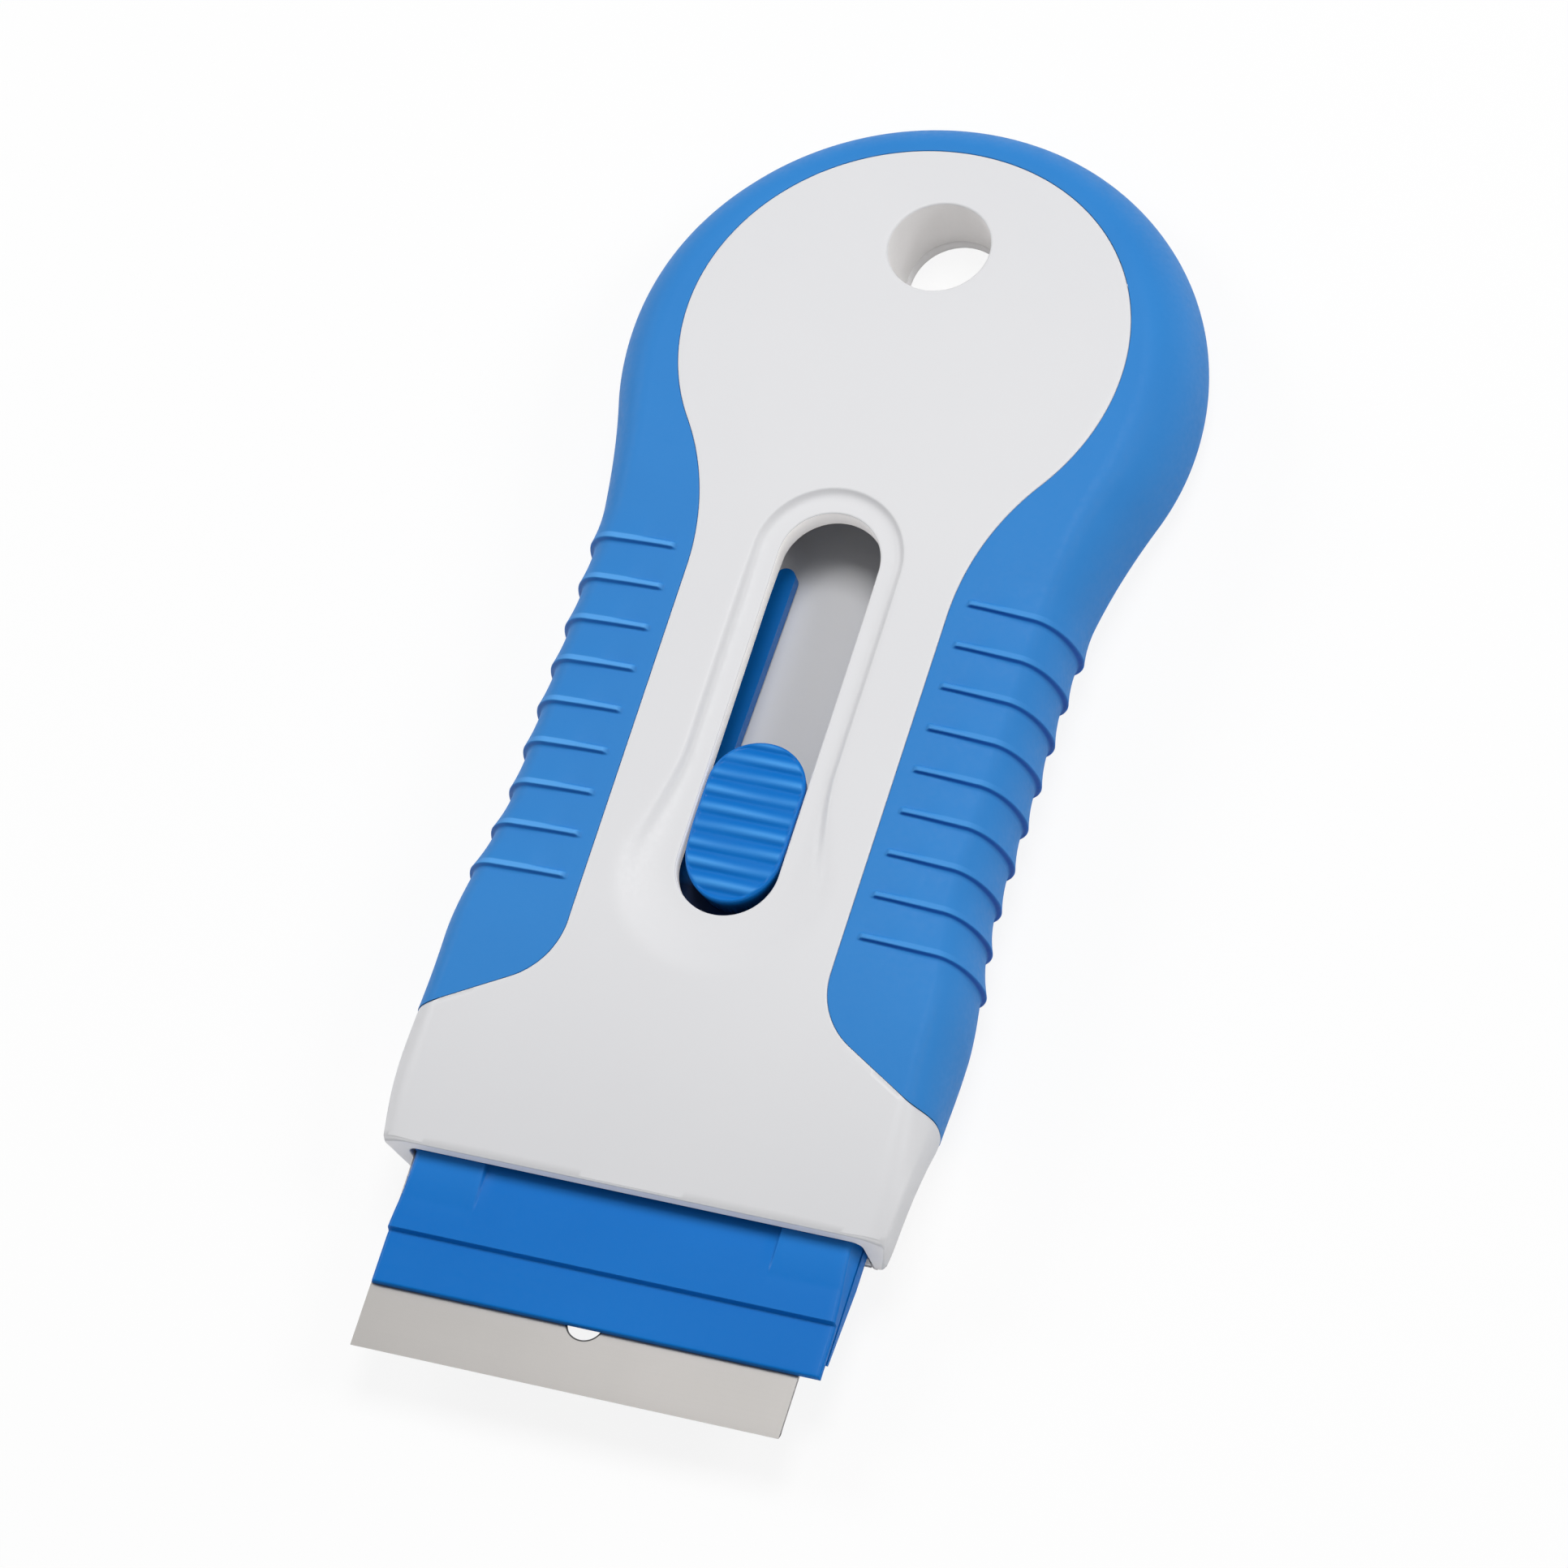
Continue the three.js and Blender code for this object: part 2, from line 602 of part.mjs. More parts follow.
// Blade carrier: lower jaw, stop bar, stem under the button and two spring arms
function bladeCarrier() {
  const jawFrontY = clampFrontY + lowerJawSetback;
  const jawZ = bladeZ - seatGap;
  const jaw = across(profile([
    [jawFrontY, jawZ - lowerJawTip],
    [jawFrontY + lowerJawTaper, carrierZ],
    [holderRearY, carrierZ],
    [holderRearY, barZ],
    [stopY, barZ],
    [stopY, jawZ],
    [jawFrontY, jawZ],
  ]), -holderHalf, holderHalf);
  const joinY = holderRearY - stopBar / 2;
  const raiseY = buttonFrontY - buttonLand;
  let carrier = jaw.add(block(-shoulderHalf, shoulderHalf, joinY, shoulderRearY, carrierZ, barZ));
  carrier = carrier.add(block(-stemHalf, stemHalf, joinY, stemRearY, carrierZ, barZ));
  carrier = carrier.add(block(-stemHalf, stemHalf, raiseY, stemRearY, carrierZ, stemZ));
  const armRound = armWidth / 2;
  const armRearY = armEndY - armRound;
  for (const side of [1, -1]) {
    const armX = side * (stemHalf - armRound);
    const bumpX = side * (railInner - detentSlack - detentBump);
    const buttonPegY = buttonMiddleY + side * buttonPegSpread;
    const arm = block(armX - armRound, armX + armRound, stemRearY - armWidth, armRearY, carrierZ, armZ);
    carrier = carrier.add(arm).add(post(armX, armRearY, armRound, carrierZ, armZ));
    carrier = carrier.add(post(bumpX, detentY, detentBump, carrierZ, armZ));
    carrier = carrier.subtract(post(side * clampPegSpread, clampPegY, pegHoleRadius, 0, bodyHeight));
    carrier = carrier.subtract(post(0, buttonPegY, buttonPegRadius + runningGap, 0, bodyHeight));
  }
  return carrier;
}

// Blade clamp: the upper jaw with its step, the two side ramps, a locating pin and two pegs
function bladeClamp() {
  const stepY = clampFrontY + clampStripLength;
  const rearZ = barZ + seatGap;
  const jaw = across(profile([
    [clampFrontY, clampZ],
    [bladeRearY, clampZ],
    [bladeRearY, rearZ],
    [holderRearY, rearZ],
    [holderRearY, plateZ],
    [stepY, plateZ],
    [stepY, stripZ],
    [clampFrontY, stripZ],
  ]), -holderHalf, holderHalf);
  const middleY = (stopY + holderRearY) / 2;
  const rampY = holderRearY - clampRampFlat;
  const sinkZ = (stripZ + plateZ) / 2;
  const ramp = profile([
    [rampY - clampRampRun, plateZ],
    [rampY, rampZ],
    [holderRearY, rampZ],
    [holderRearY, sinkZ],
    [rampY - clampRampRun, sinkZ],
  ]);
  let clamp = jaw.add(block(-shoulderHalf, shoulderHalf, middleY, shoulderRearY, rearZ, plateZ));
  for (const side of [1, -1]) {
    const ends = [side * holderHalf, side * (holderHalf - clampRampWidth)];
    clamp = clamp.add(across(ramp, Math.min(...ends), Math.max(...ends)));
    clamp = clamp.add(post(side * clampPegSpread, clampPegY, clampPegRadius, carrierZ, plateZ));
  }
  return clamp.add(post(0, holeInBladeY, locatingPinRadius, bladeZ, stripZ));
}

// Blade: a steel plate ground from below along its front edge, with one locating hole
function blade() {
  const faceZ = bladeZ + bladeThickness;
  const plate = across(profile([
    [edgeY, faceZ - bladeEdge],
    [edgeY + bladeBevel, bladeZ],
    [bladeRearY, bladeZ],
    [bladeRearY, faceZ],
    [edgeY, faceZ],
  ]), -bladeSidePlay - bladeWidth / 2, bladeWidth / 2 - bladeSidePlay);
  return plate.subtract(post(-bladeSidePlay, holeInBladeY, bladeHoleRadius, 0, bodyHeight, roundSteps));
}

// Thumb button: a crowned, ridged pad with two pegs in the stem
function thumbButton() {
  const padZ = bodyHeight - dishDepth + buttonRise - buttonCrown;
  const pitch = buttonLength / buttonRidges;
  const crown = (y) => padZ + buttonCrown * (1 - ((2 * (y - buttonMiddleY)) / buttonLength) ** 2);
  const outline = [[buttonRearY, stemZ + seatGap], [buttonFrontY, stemZ + seatGap]];
  for (let i = 0; i < buttonRidges; i++) {
    const y = buttonFrontY + i * pitch;
    outline.push([y, crown(y) - buttonRidgeHeight]);
    outline.push([y + pitch / 4, crown(y + pitch / 4)]);
    outline.push([y + pitch / 2, crown(y + pitch / 2)]);
  }
  outline.push([buttonRearY, padZ - buttonRidgeHeight]);
  const plan = upright(slotOutline(buttonHalf, buttonFrontY, buttonRearY), 0, bodyHeight + pastFace);
  let button = across(profile(outline), -buttonHalf, buttonHalf).intersect(plan);
  for (const side of [1, -1]) {
    const pegY = buttonMiddleY + side * buttonPegSpread;
    button = button.add(post(0, pegY, buttonPegRadius, stemZ - buttonPegDepth, padZ - buttonRise));
  }
  return button;
}

// Countersunk screw with a cross recess, head to the back
function screw(x, y) {
  const tipZ = floorThickness + screwGrip + screwTip / 2;
  const outline = [
    [0, screwSink],
    [screwHeadRadius, screwSink],
    [screwShankRadius, screwSink + screwHeadDepth],
    [screwShankRadius, tipZ - screwTip],
    [0, tipZ],
  ].map(([radius, z]) => new THREE.Vector2(radius, z));
  const lathe = new THREE.LatheGeometry(outline, smallRoundSteps).rotateX(Math.PI / 2);
  const long = driveSlotLength / 2;
  const half = driveSlotWidth / 2;
  const recessZ = screwSink + driveSlotDepth;
  const recess = block(-long, long, -half, half, 0, recessZ).add(block(-half, half, -long, long, 0, recessZ));
  return solid(lathe).subtract(recess).translate([x, y, 0]);
}

const white = { color: 0xe2e2e5, roughness: 0.45, metalness: 0 };
const gripBlue = { color: 0x3e86d2, roughness: 0.7, metalness: 0 };
const partBlue = { color: 0x196cc8, roughness: 0.4, metalness: 0 };
const bladeSteel = { color: 0xbebbb7, roughness: 0.35, metalness: 1 };
const screwSteel = { color: 0x9a9a9c, roughness: 0.4, metalness: 1 };

// The middle of the length is the origin, on the flat back
const scraper = new THREE.Group();
const middleY = (tailY + edgeY) / 2;

function place(name, geometry, finish) {
  const mesh = new THREE.Mesh(geometry, new THREE.MeshStandardMaterial(finish));
  mesh.name = name;
  mesh.position.y = -middleY;
  scraper.add(mesh);
}

place('front_shell', geometryOf(frontShell()), white);
place('rear_cover', geometryOf(rearCover()), white);
place('soft_grip', softGrip(), gripBlue);
place('blade_carrier', geometryOf(bladeCarrier()), partBlue);
place('thumb_button', geometryOf(thumbButton()), partBlue);
place('blade_clamp', geometryOf(bladeClamp()), partBlue);
place('blade', geometryOf(blade()), bladeSteel);
screwPlaces.forEach(([x, y], i) => place(`rear_screw_${i + 1}`, geometryOf(screw(x, y)), screwSteel));

export default scraper;
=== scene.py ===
import math

import bmesh
import bpy
import numpy as np
from mathutils import Matrix, Vector


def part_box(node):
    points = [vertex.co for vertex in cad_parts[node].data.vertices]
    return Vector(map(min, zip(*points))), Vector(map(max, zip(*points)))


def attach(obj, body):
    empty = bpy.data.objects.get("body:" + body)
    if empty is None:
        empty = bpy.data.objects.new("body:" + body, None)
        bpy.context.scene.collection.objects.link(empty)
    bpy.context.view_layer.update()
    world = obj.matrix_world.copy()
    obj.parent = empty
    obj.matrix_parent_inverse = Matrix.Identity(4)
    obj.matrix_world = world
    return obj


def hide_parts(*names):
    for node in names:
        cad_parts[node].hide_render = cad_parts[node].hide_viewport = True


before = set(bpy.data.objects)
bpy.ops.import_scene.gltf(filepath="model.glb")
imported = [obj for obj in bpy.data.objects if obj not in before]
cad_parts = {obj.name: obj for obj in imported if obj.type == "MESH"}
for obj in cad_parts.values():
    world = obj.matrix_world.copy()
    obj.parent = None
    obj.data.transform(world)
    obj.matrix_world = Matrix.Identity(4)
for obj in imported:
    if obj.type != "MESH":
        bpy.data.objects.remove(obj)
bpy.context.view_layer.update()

# Sizes are millimetres, and y is measured from the mouth towards the tail
mm = 0.001
tiny = 1e-6
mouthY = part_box("front_shell")[0].y
weldGap = 0.002 * mm
bevelSteps = 3
halfTurn = math.pi
quarterTurn = math.pi / 2


def nodeBox(name):  # corners of a solid of the frame
    shift = np.array([0, mouthY, 0])
    return [(np.array(corner) - shift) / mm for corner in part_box(name)]


def mix(start, end, share):
    return start + (end - start) * share


def smoothStep(value, start, end):  # 0 before start, 1 after end, an S between
    share = np.clip((value - start) / (end - start), 0, 1)
    return share * share * (3 - 2 * share)


def shares(count):  # even steps from 0 to 1
    return np.linspace(0, 1, count)


def quarterAngles(count):
    return np.linspace(0, quarterTurn, count)


def roundOver(count):  # a quarter-round edge of radius 1: how far out and how far below the top
    turn = quarterAngles(count)[:, None]
    return 1 - np.cos(turn), 1 - np.sin(turn)


def chain(*stretches):  # stretches end to end, each without the point that the next one starts on
    return np.concatenate([part[:-1] for part in stretches[:-1]] + [stretches[-1]])


def join(*parts, axis=0):
    return np.concatenate(parts, axis)


def planOf(x, y):
    return np.stack(np.broadcast_arrays(x, y), axis=-1).astype(float)


def pointsOf(x, y, z):
    return np.stack(np.broadcast_arrays(x, y, z), axis=-1).astype(float)


def raised(plan, z):
    return pointsOf(plan[..., 0], plan[..., 1], z)


def straight(start, end, count):
    return mix(np.array(start, float), np.array(end, float), shares(count)[:, None])


def unit(vectors):
    return vectors / np.linalg.norm(vectors, axis=-1, keepdims=True)


# Mesh making: a sheet is a grid of points; loop closes its columns, caps close its two ends
def sheet(points, loop=False, turned=False, caps=False, crest=None):
    mask = np.zeros(points.shape[:2]) if crest is None else crest
    return {"points": points, "loop": loop, "turned": turned, "caps": caps, "crest": mask}


def marked(points, value, rows):  # a painted light mask that has one value on some rows of a grid
    mask = np.zeros(points.shape[:2])
    mask[rows] = value
    return mask


def spreadOut(rings, border, count, height):  # rings, then straight out to a border at the height for each y
    plan = mix(rings[-1:, :, :2], border[None], shares(count)[1:, None, None])
    return join(rings, raised(plan, height(plan[..., 1])))


def mirrored(grid):
    return {**grid, "points": grid["points"] * (-1, 1, 1), "turned": not grid["turned"]}


def bothSides(grids):
    return grids + [mirrored(grid) for grid in grids]


def sheetFaces(grid, start):
    rows, columns = grid["points"].shape[:2]
    row = start + np.arange(rows - 1)[:, None] * columns
    column = np.arange(columns if grid["loop"] else columns - 1)
    after = (column + 1) % columns
    corners = [row + column, row + after, row + columns + after, row + columns + column]
    faces = np.stack(corners, axis=-1).reshape(-1, 4)
    first = start + np.arange(columns)
    ends = [first[::-1], first + (rows - 1) * columns] if grid["caps"] else []
    way = -1 if grid["turned"] else 1
    return [face[::way] for face in faces.tolist()] + [end[::way].tolist() for end in ends]


def makeMesh(name, grids, sharpAngle):
    points, faces, start = [], [], 0
    for grid in grids:
        faces += sheetFaces(grid, start)
        points.append(grid["points"].reshape(-1, 3))
        start += len(points[-1])
    placed = np.concatenate(points) * mm + (0, mouthY, 0)
    mesh = bpy.data.meshes.new(name)
    mesh.from_pydata(placed.tolist(), [], faces)
    # the painted light mask: above 0 for painted highlight and glow, below 0 for painted shade
    crest = mesh.attributes.new("crest", "FLOAT", "POINT")
    crest.data.foreach_set("value", np.concatenate([grid["crest"].ravel() for grid in grids]))
    work = bmesh.new()
    work.from_mesh(mesh)
    bmesh.ops.remove_doubles(work, verts=work.verts, dist=weldGap)
    inside = [face for face in work.faces if all(abs(point.co.x) < weldGap for point in face.verts)]
    bmesh.ops.delete(work, geom=inside, context="FACES")  # walls on the mirror plane
    work.to_mesh(mesh)
    work.free()
    mesh.shade_smooth()
    mesh.set_sharp_from_angle(angle=math.radians(sharpAngle))
    return mesh


def makePiece(name, grids, material, body, node, sharpAngle=38, wall=0, bevel=0):
    piece = bpy.data.objects.new(name, makeMesh(name, grids, sharpAngle))
    bpy.context.scene.collection.objects.link(piece)
    piece.data.materials.append(material)
    if wall:
        solid = piece.modifiers.new("wall", "SOLIDIFY")
        solid.thickness = wall * mm
        solid.offset = -1  # inwards
    if bevel:
        edge = piece.modifiers.new("edges", "BEVEL")
        edge.width = bevel * mm
        edge.segments = bevelSteps
        edge.limit_method = "ANGLE"
        edge.angle_limit = math.radians(sharpAngle)
        edge.harden_normals = True
    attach(piece, body)
    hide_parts(node)
    print("piece:", name, len(piece.data.polygons), "faces")


# Node helpers: an input is given a value, or the output of another node
def feed(tree, target, value):
    if isinstance(value, bpy.types.NodeSocket):
        tree.links.new(value, target)
    else:
        target.default_value = value


def addNode(tree, kind, inputs=None, **settings):
    node = tree.nodes.new(kind)
    for key, value in settings.items():
        setattr(node, key, value)
    for socket, value in (inputs or {}).items():
        feed(tree, node.inputs[socket], value)
    return node


def mixColours(tree, share, first, second):
    node = addNode(tree, "ShaderNodeMix", {"Factor": share}, data_type="RGBA")
    targets = [socket for socket in node.inputs if socket.type == "RGBA"]
    feed(tree, targets[0], first)
    feed(tree, targets[1], second)
    return next(socket for socket in node.outputs if socket.type == "RGBA")


def makeGroup(name, inputs, outputs):
    group = bpy.data.node_groups.new(name, "ShaderNodeTree")
    for way, sockets in (("INPUT", inputs), ("OUTPUT", outputs)):
        for socket, kind in sockets.items():
            group.interface.new_socket(name=socket, in_out=way, socket_type="NodeSocket" + kind)
    return group, addNode(group, "NodeGroupInput").outputs


# Moulded skin: fine sparked grain, wide clouds of tone and a few hairline rubs
def makeSkinGroup():
    inputs = {"Vector": "Vector", "Grain Scale": "Float", "Cloud Scale": "Float"}
    group, given = makeGroup("mouldedSkin", inputs, {"Grain": "Float", "Clouds": "Float", "Rubs": "Float"})
    fine = {"Vector": given["Vector"], "Scale": given["Grain Scale"], "Detail": 3}
    wide = {"Vector": given["Vector"], "Scale": given["Cloud Scale"], "Detail": 4, "Roughness": 0.55}
    slant = {"Vector": given["Vector"], "Rotation": (0, 0, math.radians(24)), "Scale": (60, 2400, 200)}
    stretch = addNode(group, "ShaderNodeMapping", slant)
    hairs = {"Vector": stretch.outputs["Vector"], "Scale": 1, "Detail": 2}
    rubs = addNode(group, "ShaderNodeTexNoise", hairs)
    few = {"Value": rubs.outputs["Fac"], "From Min": 0.62, "From Max": 0.72}
    addNode(group, "NodeGroupOutput", {
        "Grain": addNode(group, "ShaderNodeTexNoise", fine).outputs["Fac"],
        "Clouds": addNode(group, "ShaderNodeTexNoise", wide).outputs["Fac"],
        "Rubs": addNode(group, "ShaderNodeMapRange", few).outputs["Result"],
    })
    return group


# Ground metal: long fine lines along one axis, and slow stains
def makeGroundGroup():
    inputs = {"Vector": "Vector", "Line Scale": "Vector", "Stain Scale": "Float"}
    group, given = makeGroup("groundMetal", inputs, {"Lines": "Float", "Stains": "Float"})
    along = {0: given["Vector"], 1: given["Line Scale"]}
    stretch = addNode(group, "ShaderNodeVectorMath", along, operation="MULTIPLY")
    fine = {"Vector": stretch.outputs["Vector"], "Scale": 1, "Detail": 5, "Roughness": 0.65}
    slow = {"Vector": given["Vector"], "Scale": given["Stain Scale"], "Detail": 5}
    addNode(group, "NodeGroupOutput", {
        "Lines": addNode(group, "ShaderNodeTexNoise", fine).outputs["Fac"],
        "Stains": addNode(group, "ShaderNodeTexNoise", slow).outputs["Fac"],
    })
    return group


# Painted light tint: brings in a tone where the painted light mask is above 0, or below 0 if the share is
# negative; it paints highlight, glow and shade into the base colour
def makePaintedLightGroup():
    inputs = {"Plain": "Color", "Tint": "Color", "PaintedLight": "Float", "Share": "Float"}
    group, given = makeGroup("crestTint", inputs, {"Tone": "Color"})
    amount = addNode(group, "ShaderNodeMath", {0: given["PaintedLight"], 1: given["Share"]}, operation="MULTIPLY")
    tone = mixColours(group, amount.outputs["Value"], given["Plain"], given["Tint"])
    addNode(group, "NodeGroupOutput", {"Tone": tone})
    return group


skinGroup = makeSkinGroup()
groundGroup = makeGroundGroup()
crestGroup = makePaintedLightGroup()
noiseRange = {"From Min": 0.3, "From Max": 0.7}  # where nearly all of a noise lies


def startMaterial(name, group, scales):
    material = bpy.data.materials.new(name)
    material.use_nodes = True
    tree = material.node_tree
    place = addNode(tree, "ShaderNodeTexCoord").outputs["Object"]
    effect = addNode(tree, "ShaderNodeGroup", {"Vector": place, **scales}, node_tree=group)
    return material, tree, tree.nodes["Principled BSDF"].inputs, effect.outputs


def crestMask(tree):
    return addNode(tree, "ShaderNodeAttribute", attribute_name="crest").outputs["Fac"]


def paintBase(tree, mask, look, shader):  # from dark to light by a mask, then each painted light tint: painted highlight, glow or shade
    tone = mixColours(tree, mask, (*look["dark"], 1), (*look["light"], 1))
    for tint, share in look["tints"]:
        values = {"Plain": tone, "Tint": (*tint, 1), "PaintedLight": crestMask(tree), "Share": share}
        tone = addNode(tree, "ShaderNodeGroup", values, node_tree=crestGroup).outputs["Tone"]
    feed(tree, shader["Base Color"], tone)


def roughen(tree, mask, look, shader):  # from one roughness to another by a mask
    low, high = look["roughness"]
    spread = addNode(tree, "ShaderNodeMapRange", {"Value": mask, **noiseRange, "To Min": low, "To Max": high})
    feed(tree, shader["Roughness"], spread.outputs["Result"])


def bumpFrom(tree, height, look, shader):
    values = {"Strength": look["bumpStrength"], "Distance": look["bumpDepth"] * mm, "Height": height}
    feed(tree, shader["Normal"], addNode(tree, "ShaderNodeBump", values).outputs["Normal"])


def makeMoulded(name, look):
    scales = {"Grain Scale": look["grainScale"], "Cloud Scale": look["cloudScale"]}
    material, tree, shader, skin = startMaterial(name, skinGroup, scales)
    paintBase(tree, skin["Clouds"], look, shader)
    rubbed = {0: skin["Rubs"], 1: look["rubShine"], 2: skin["Grain"]}
    uneven = addNode(tree, "ShaderNodeMath", rubbed, operation="MULTIPLY_ADD")
    roughen(tree, uneven.outputs["Value"], look, shader)
    bumpFrom(tree, skin["Grain"], look, shader)
    shader["Specular IOR Level"].default_value = look["specular"]
    return material


def makeSteel(name, look):
    scales = {"Line Scale": look["lineScale"], "Stain Scale": look["stainScale"]}
    material, tree, shader, metal = startMaterial(name, groundGroup, scales)
    paintBase(tree, metal["Stains"], look, shader)
    roughen(tree, metal["Lines"], look, shader)
    bumpFrom(tree, metal["Lines"], look, shader)
    shader["Metallic"].default_value = 1
    return material


def paintedGlow(material, colour, strength):  # painted glow: emission by the painted light mask, standing in for the light on thin white walls
    tree = material.node_tree
    shader = tree.nodes["Principled BSDF"].inputs
    feed(tree, shader["Emission Color"], mixColours(tree, crestMask(tree), (0, 0, 0, 1), (*colour, 1)))
    shader["Emission Strength"].default_value = strength


whitePlastic = makeMoulded("whitePlastic", {
    # the tint paints the glowing rings whiter as well: painted glow
    "dark": (0.7, 0.702, 0.722), "light": (0.735, 0.736, 0.75), "tints": [((0.92, 0.9, 0.88), 0.9)],
    "grainScale": 2600, "cloudScale": 38, "bumpDepth": 0.012, "bumpStrength": 0.25,
    "roughness": (0.5, 0.4), "rubShine": 0.15, "specular": 0.45,
})
paintedGlow(whitePlastic, (1, 0.96, 0.92), 0.3)
gripRubber = makeMoulded("gripRubber", {
    "dark": (0.022, 0.2, 0.56), "light": (0.03, 0.235, 0.62),
    # tints: painted highlight on the rib beads, painted shade on their steep faces
    "tints": [((0.09, 0.36, 0.8), 0.9), ((0, 0.09, 0.43), -0.95)],
    "grainScale": 1900, "cloudScale": 55, "bumpDepth": 0.02, "bumpStrength": 0.35,
    "roughness": (0.6, 0.48), "rubShine": 0.1, "specular": 0.22,
})
bluePlastic = makeMoulded("bluePlastic", {
    "dark": (0.001, 0.142, 0.505), "light": (0.004, 0.17, 0.57),
    # tints: painted highlight on the button's ridges and the clamp's pads, painted shade round the button's
    # foot and on the carrier
    "tints": [((0.07, 0.34, 0.8), 0.85), ((0.001, 0.006, 0.04), -0.9)],
    "grainScale": 2400, "cloudScale": 60, "bumpDepth": 0.012, "bumpStrength": 0.25,
    "roughness": (0.45, 0.34), "rubShine": 0.3, "specular": 0.15,
})
bladeSteel = makeSteel("bladeSteel", {
    "dark": (0.405, 0.391, 0.377), "light": (0.482, 0.464, 0.449), "tints": [((0.03, 0.03, 0.035), 0.9)],
    "lineScale": (40, 5200, 40), "stainScale": 60, "bumpDepth": 0.004, "bumpStrength": 0.06,
    "roughness": (0.4, 0.46),
})
screwSteel = makeSteel("screwSteel", {
    "dark": (0.3, 0.295, 0.29), "light": (0.46, 0.45, 0.44), "tints": [],
    "lineScale": (900, 900, 60), "stainScale": 900, "bumpDepth": 0.02, "bumpStrength": 0.3,
    "roughness": (0.28, 0.45),
})
print("finishes: white plastic, grip rubber, blue plastic, blade and screw steel")

# The body that the shells and the grip share
gripBox = nodeBox("soft_grip")
shellBox = nodeBox("front_shell")
body = {
    "height": shellBox[1][2], "noseHalf": 23.7, "mouthTaper": 0.8, "taperRun": 12,
    "waistPinch": 1.75, "flareFront": 19.05, "flareEnd": 34.05, "waistEnd": 52,
    "tailRadius": gripBox[1][0], "tailCentre": gripBox[1][1] - gripBox[1][0],
    "noseDrop": 2.65, "noseArch": 25, "noseLift": 2.15, "liftRun": 22,
    "tailDrop": 2.36, "tailArch": 59.95, "tailArchRun": 31.5,
    "sideRound": 2.8, "tailRoundGain": 1.7, "sideBlend": 0.6, "seamBow": 0.9,
    "widest": 0.46, "noseWidestRise": 0.34, "riseRange": (3, 18), "tailWidestFall": 0.2,
}


def topZ(y):  # level, less a parabola towards the mouth and another towards the tail
    nose = np.maximum(0, body["noseArch"] - y) / body["noseArch"]
    tail = np.maximum(0, y - body["tailArch"]) / body["tailArchRun"]
    return body["height"] - body["noseDrop"] * nose**2 - body["tailDrop"] * tail**2


def backZ(y):  # level, plus a parabola towards the mouth
    return body["noseLift"] * (np.maximum(0, body["liftRun"] - y) / body["liftRun"]) ** 2


def swell(y):
    return smoothStep(y, body["waistEnd"], body["tailCentre"])


def sideZ(y, angle):  # two quarter ellipses blended at the widest line, which falls from nose to tail
    rise = 1 - smoothStep(y, *body["riseRange"])
    share = body["widest"] + body["noseWidestRise"] * rise - body["tailWidestFall"] * swell(y)
    widest = mix(backZ(y), topZ(y), share)
    blend = smoothStep(np.sin(angle), -body["sideBlend"], body["sideBlend"])
    return widest + mix(widest - backZ(y), topZ(y) - widest, blend) * np.sin(angle)


def seamBow(angle, onSide):  # the front seam of the grip bows towards the tail as it goes round the side
    return body["seamBow"] * onSide * np.cos(angle) ** 2


def shoulderHalf(y, half, startY, radius, centreY):  # straight side, hollow arc, round end, all tangent
    run = centreY - startY
    hollow = (run**2 - radius**2 + half**2) / (2 * (radius - half))
    meetY = centreY - radius * run / (radius + hollow)
    neck = half + hollow - np.sqrt(np.maximum(0, hollow**2 - np.maximum(0, y - startY) ** 2))
    bulb = np.sqrt(np.maximum(0, radius**2 - (y - centreY) ** 2))
    return np.where(y <= meetY, neck, bulb)


def bodyHalf(y):  # half width: straight nose less a taper at the mouth, then the waist and the round tail
    taper = body["mouthTaper"] * np.clip(1 - y / body["taperRun"], 0, 1) ** 2
    pinch = body["waistPinch"] * smoothStep(y, body["flareFront"], body["flareEnd"])
    waist = body["noseHalf"] - body["waistPinch"]
    rear = shoulderHalf(y, waist, body["waistEnd"], body["tailRadius"], body["tailCentre"])
    return np.where(y > body["flareEnd"], rear, body["noseHalf"] - taper - pinch)


# The line between white panel and blue grip: slanted front, fillet, neck, shoulder and round tail
panel = {
    "neckHalf": 12, "neckEnd": 56, "radius": 20, "centreY": 81.25,
    "slope": math.radians(29.6), "fillet": 6.9, "tipY": 11.15, "splitY": 77,
    "frontPoints": 41, "slantPoints": 14, "filletPoints": 26, "neckPoints": 60,
    "shoulderPoints": 40, "tailPoints": 70, "splitPoints": 31,
}
panel["filletX"] = panel["neckHalf"] + panel["fillet"]
slantRise = (body["noseHalf"] - panel["filletX"]) * math.tan(panel["slope"])
panel["filletY"] = panel["tipY"] + slantRise + panel["fillet"] / math.cos(panel["slope"])


def slantFoot(gap):  # where the slanted line runs into the fillet
    radius = panel["fillet"] - gap
    x = panel["filletX"] - radius * math.sin(panel["slope"])
    return x, panel["filletY"] - radius * math.cos(panel["slope"])


def slantY(x, gap):
    footX, footY = slantFoot(gap)
    return footY - (x - footX) * math.tan(panel["slope"])


def slantLine(gap, fromX, count):
    x = np.linspace(fromX, slantFoot(gap)[0], count)
    return planOf(x, slantY(x, gap))


def filletArc(gap):
    angle = np.linspace(quarterTurn - panel["slope"], 0, panel["filletPoints"])
    radius = panel["fillet"] - gap
    return planOf(panel["filletX"] - radius * np.cos(angle), panel["filletY"] - radius * np.sin(angle))


def neckHalfAt(y, gap):
    return shoulderHalf(y, panel["neckHalf"] + gap, panel["neckEnd"], panel["radius"] + gap, panel["centreY"])


def neckLine(gap, startY, endY, count):
    y = np.linspace(startY, endY, count)
    return planOf(neckHalfAt(y, gap), y)


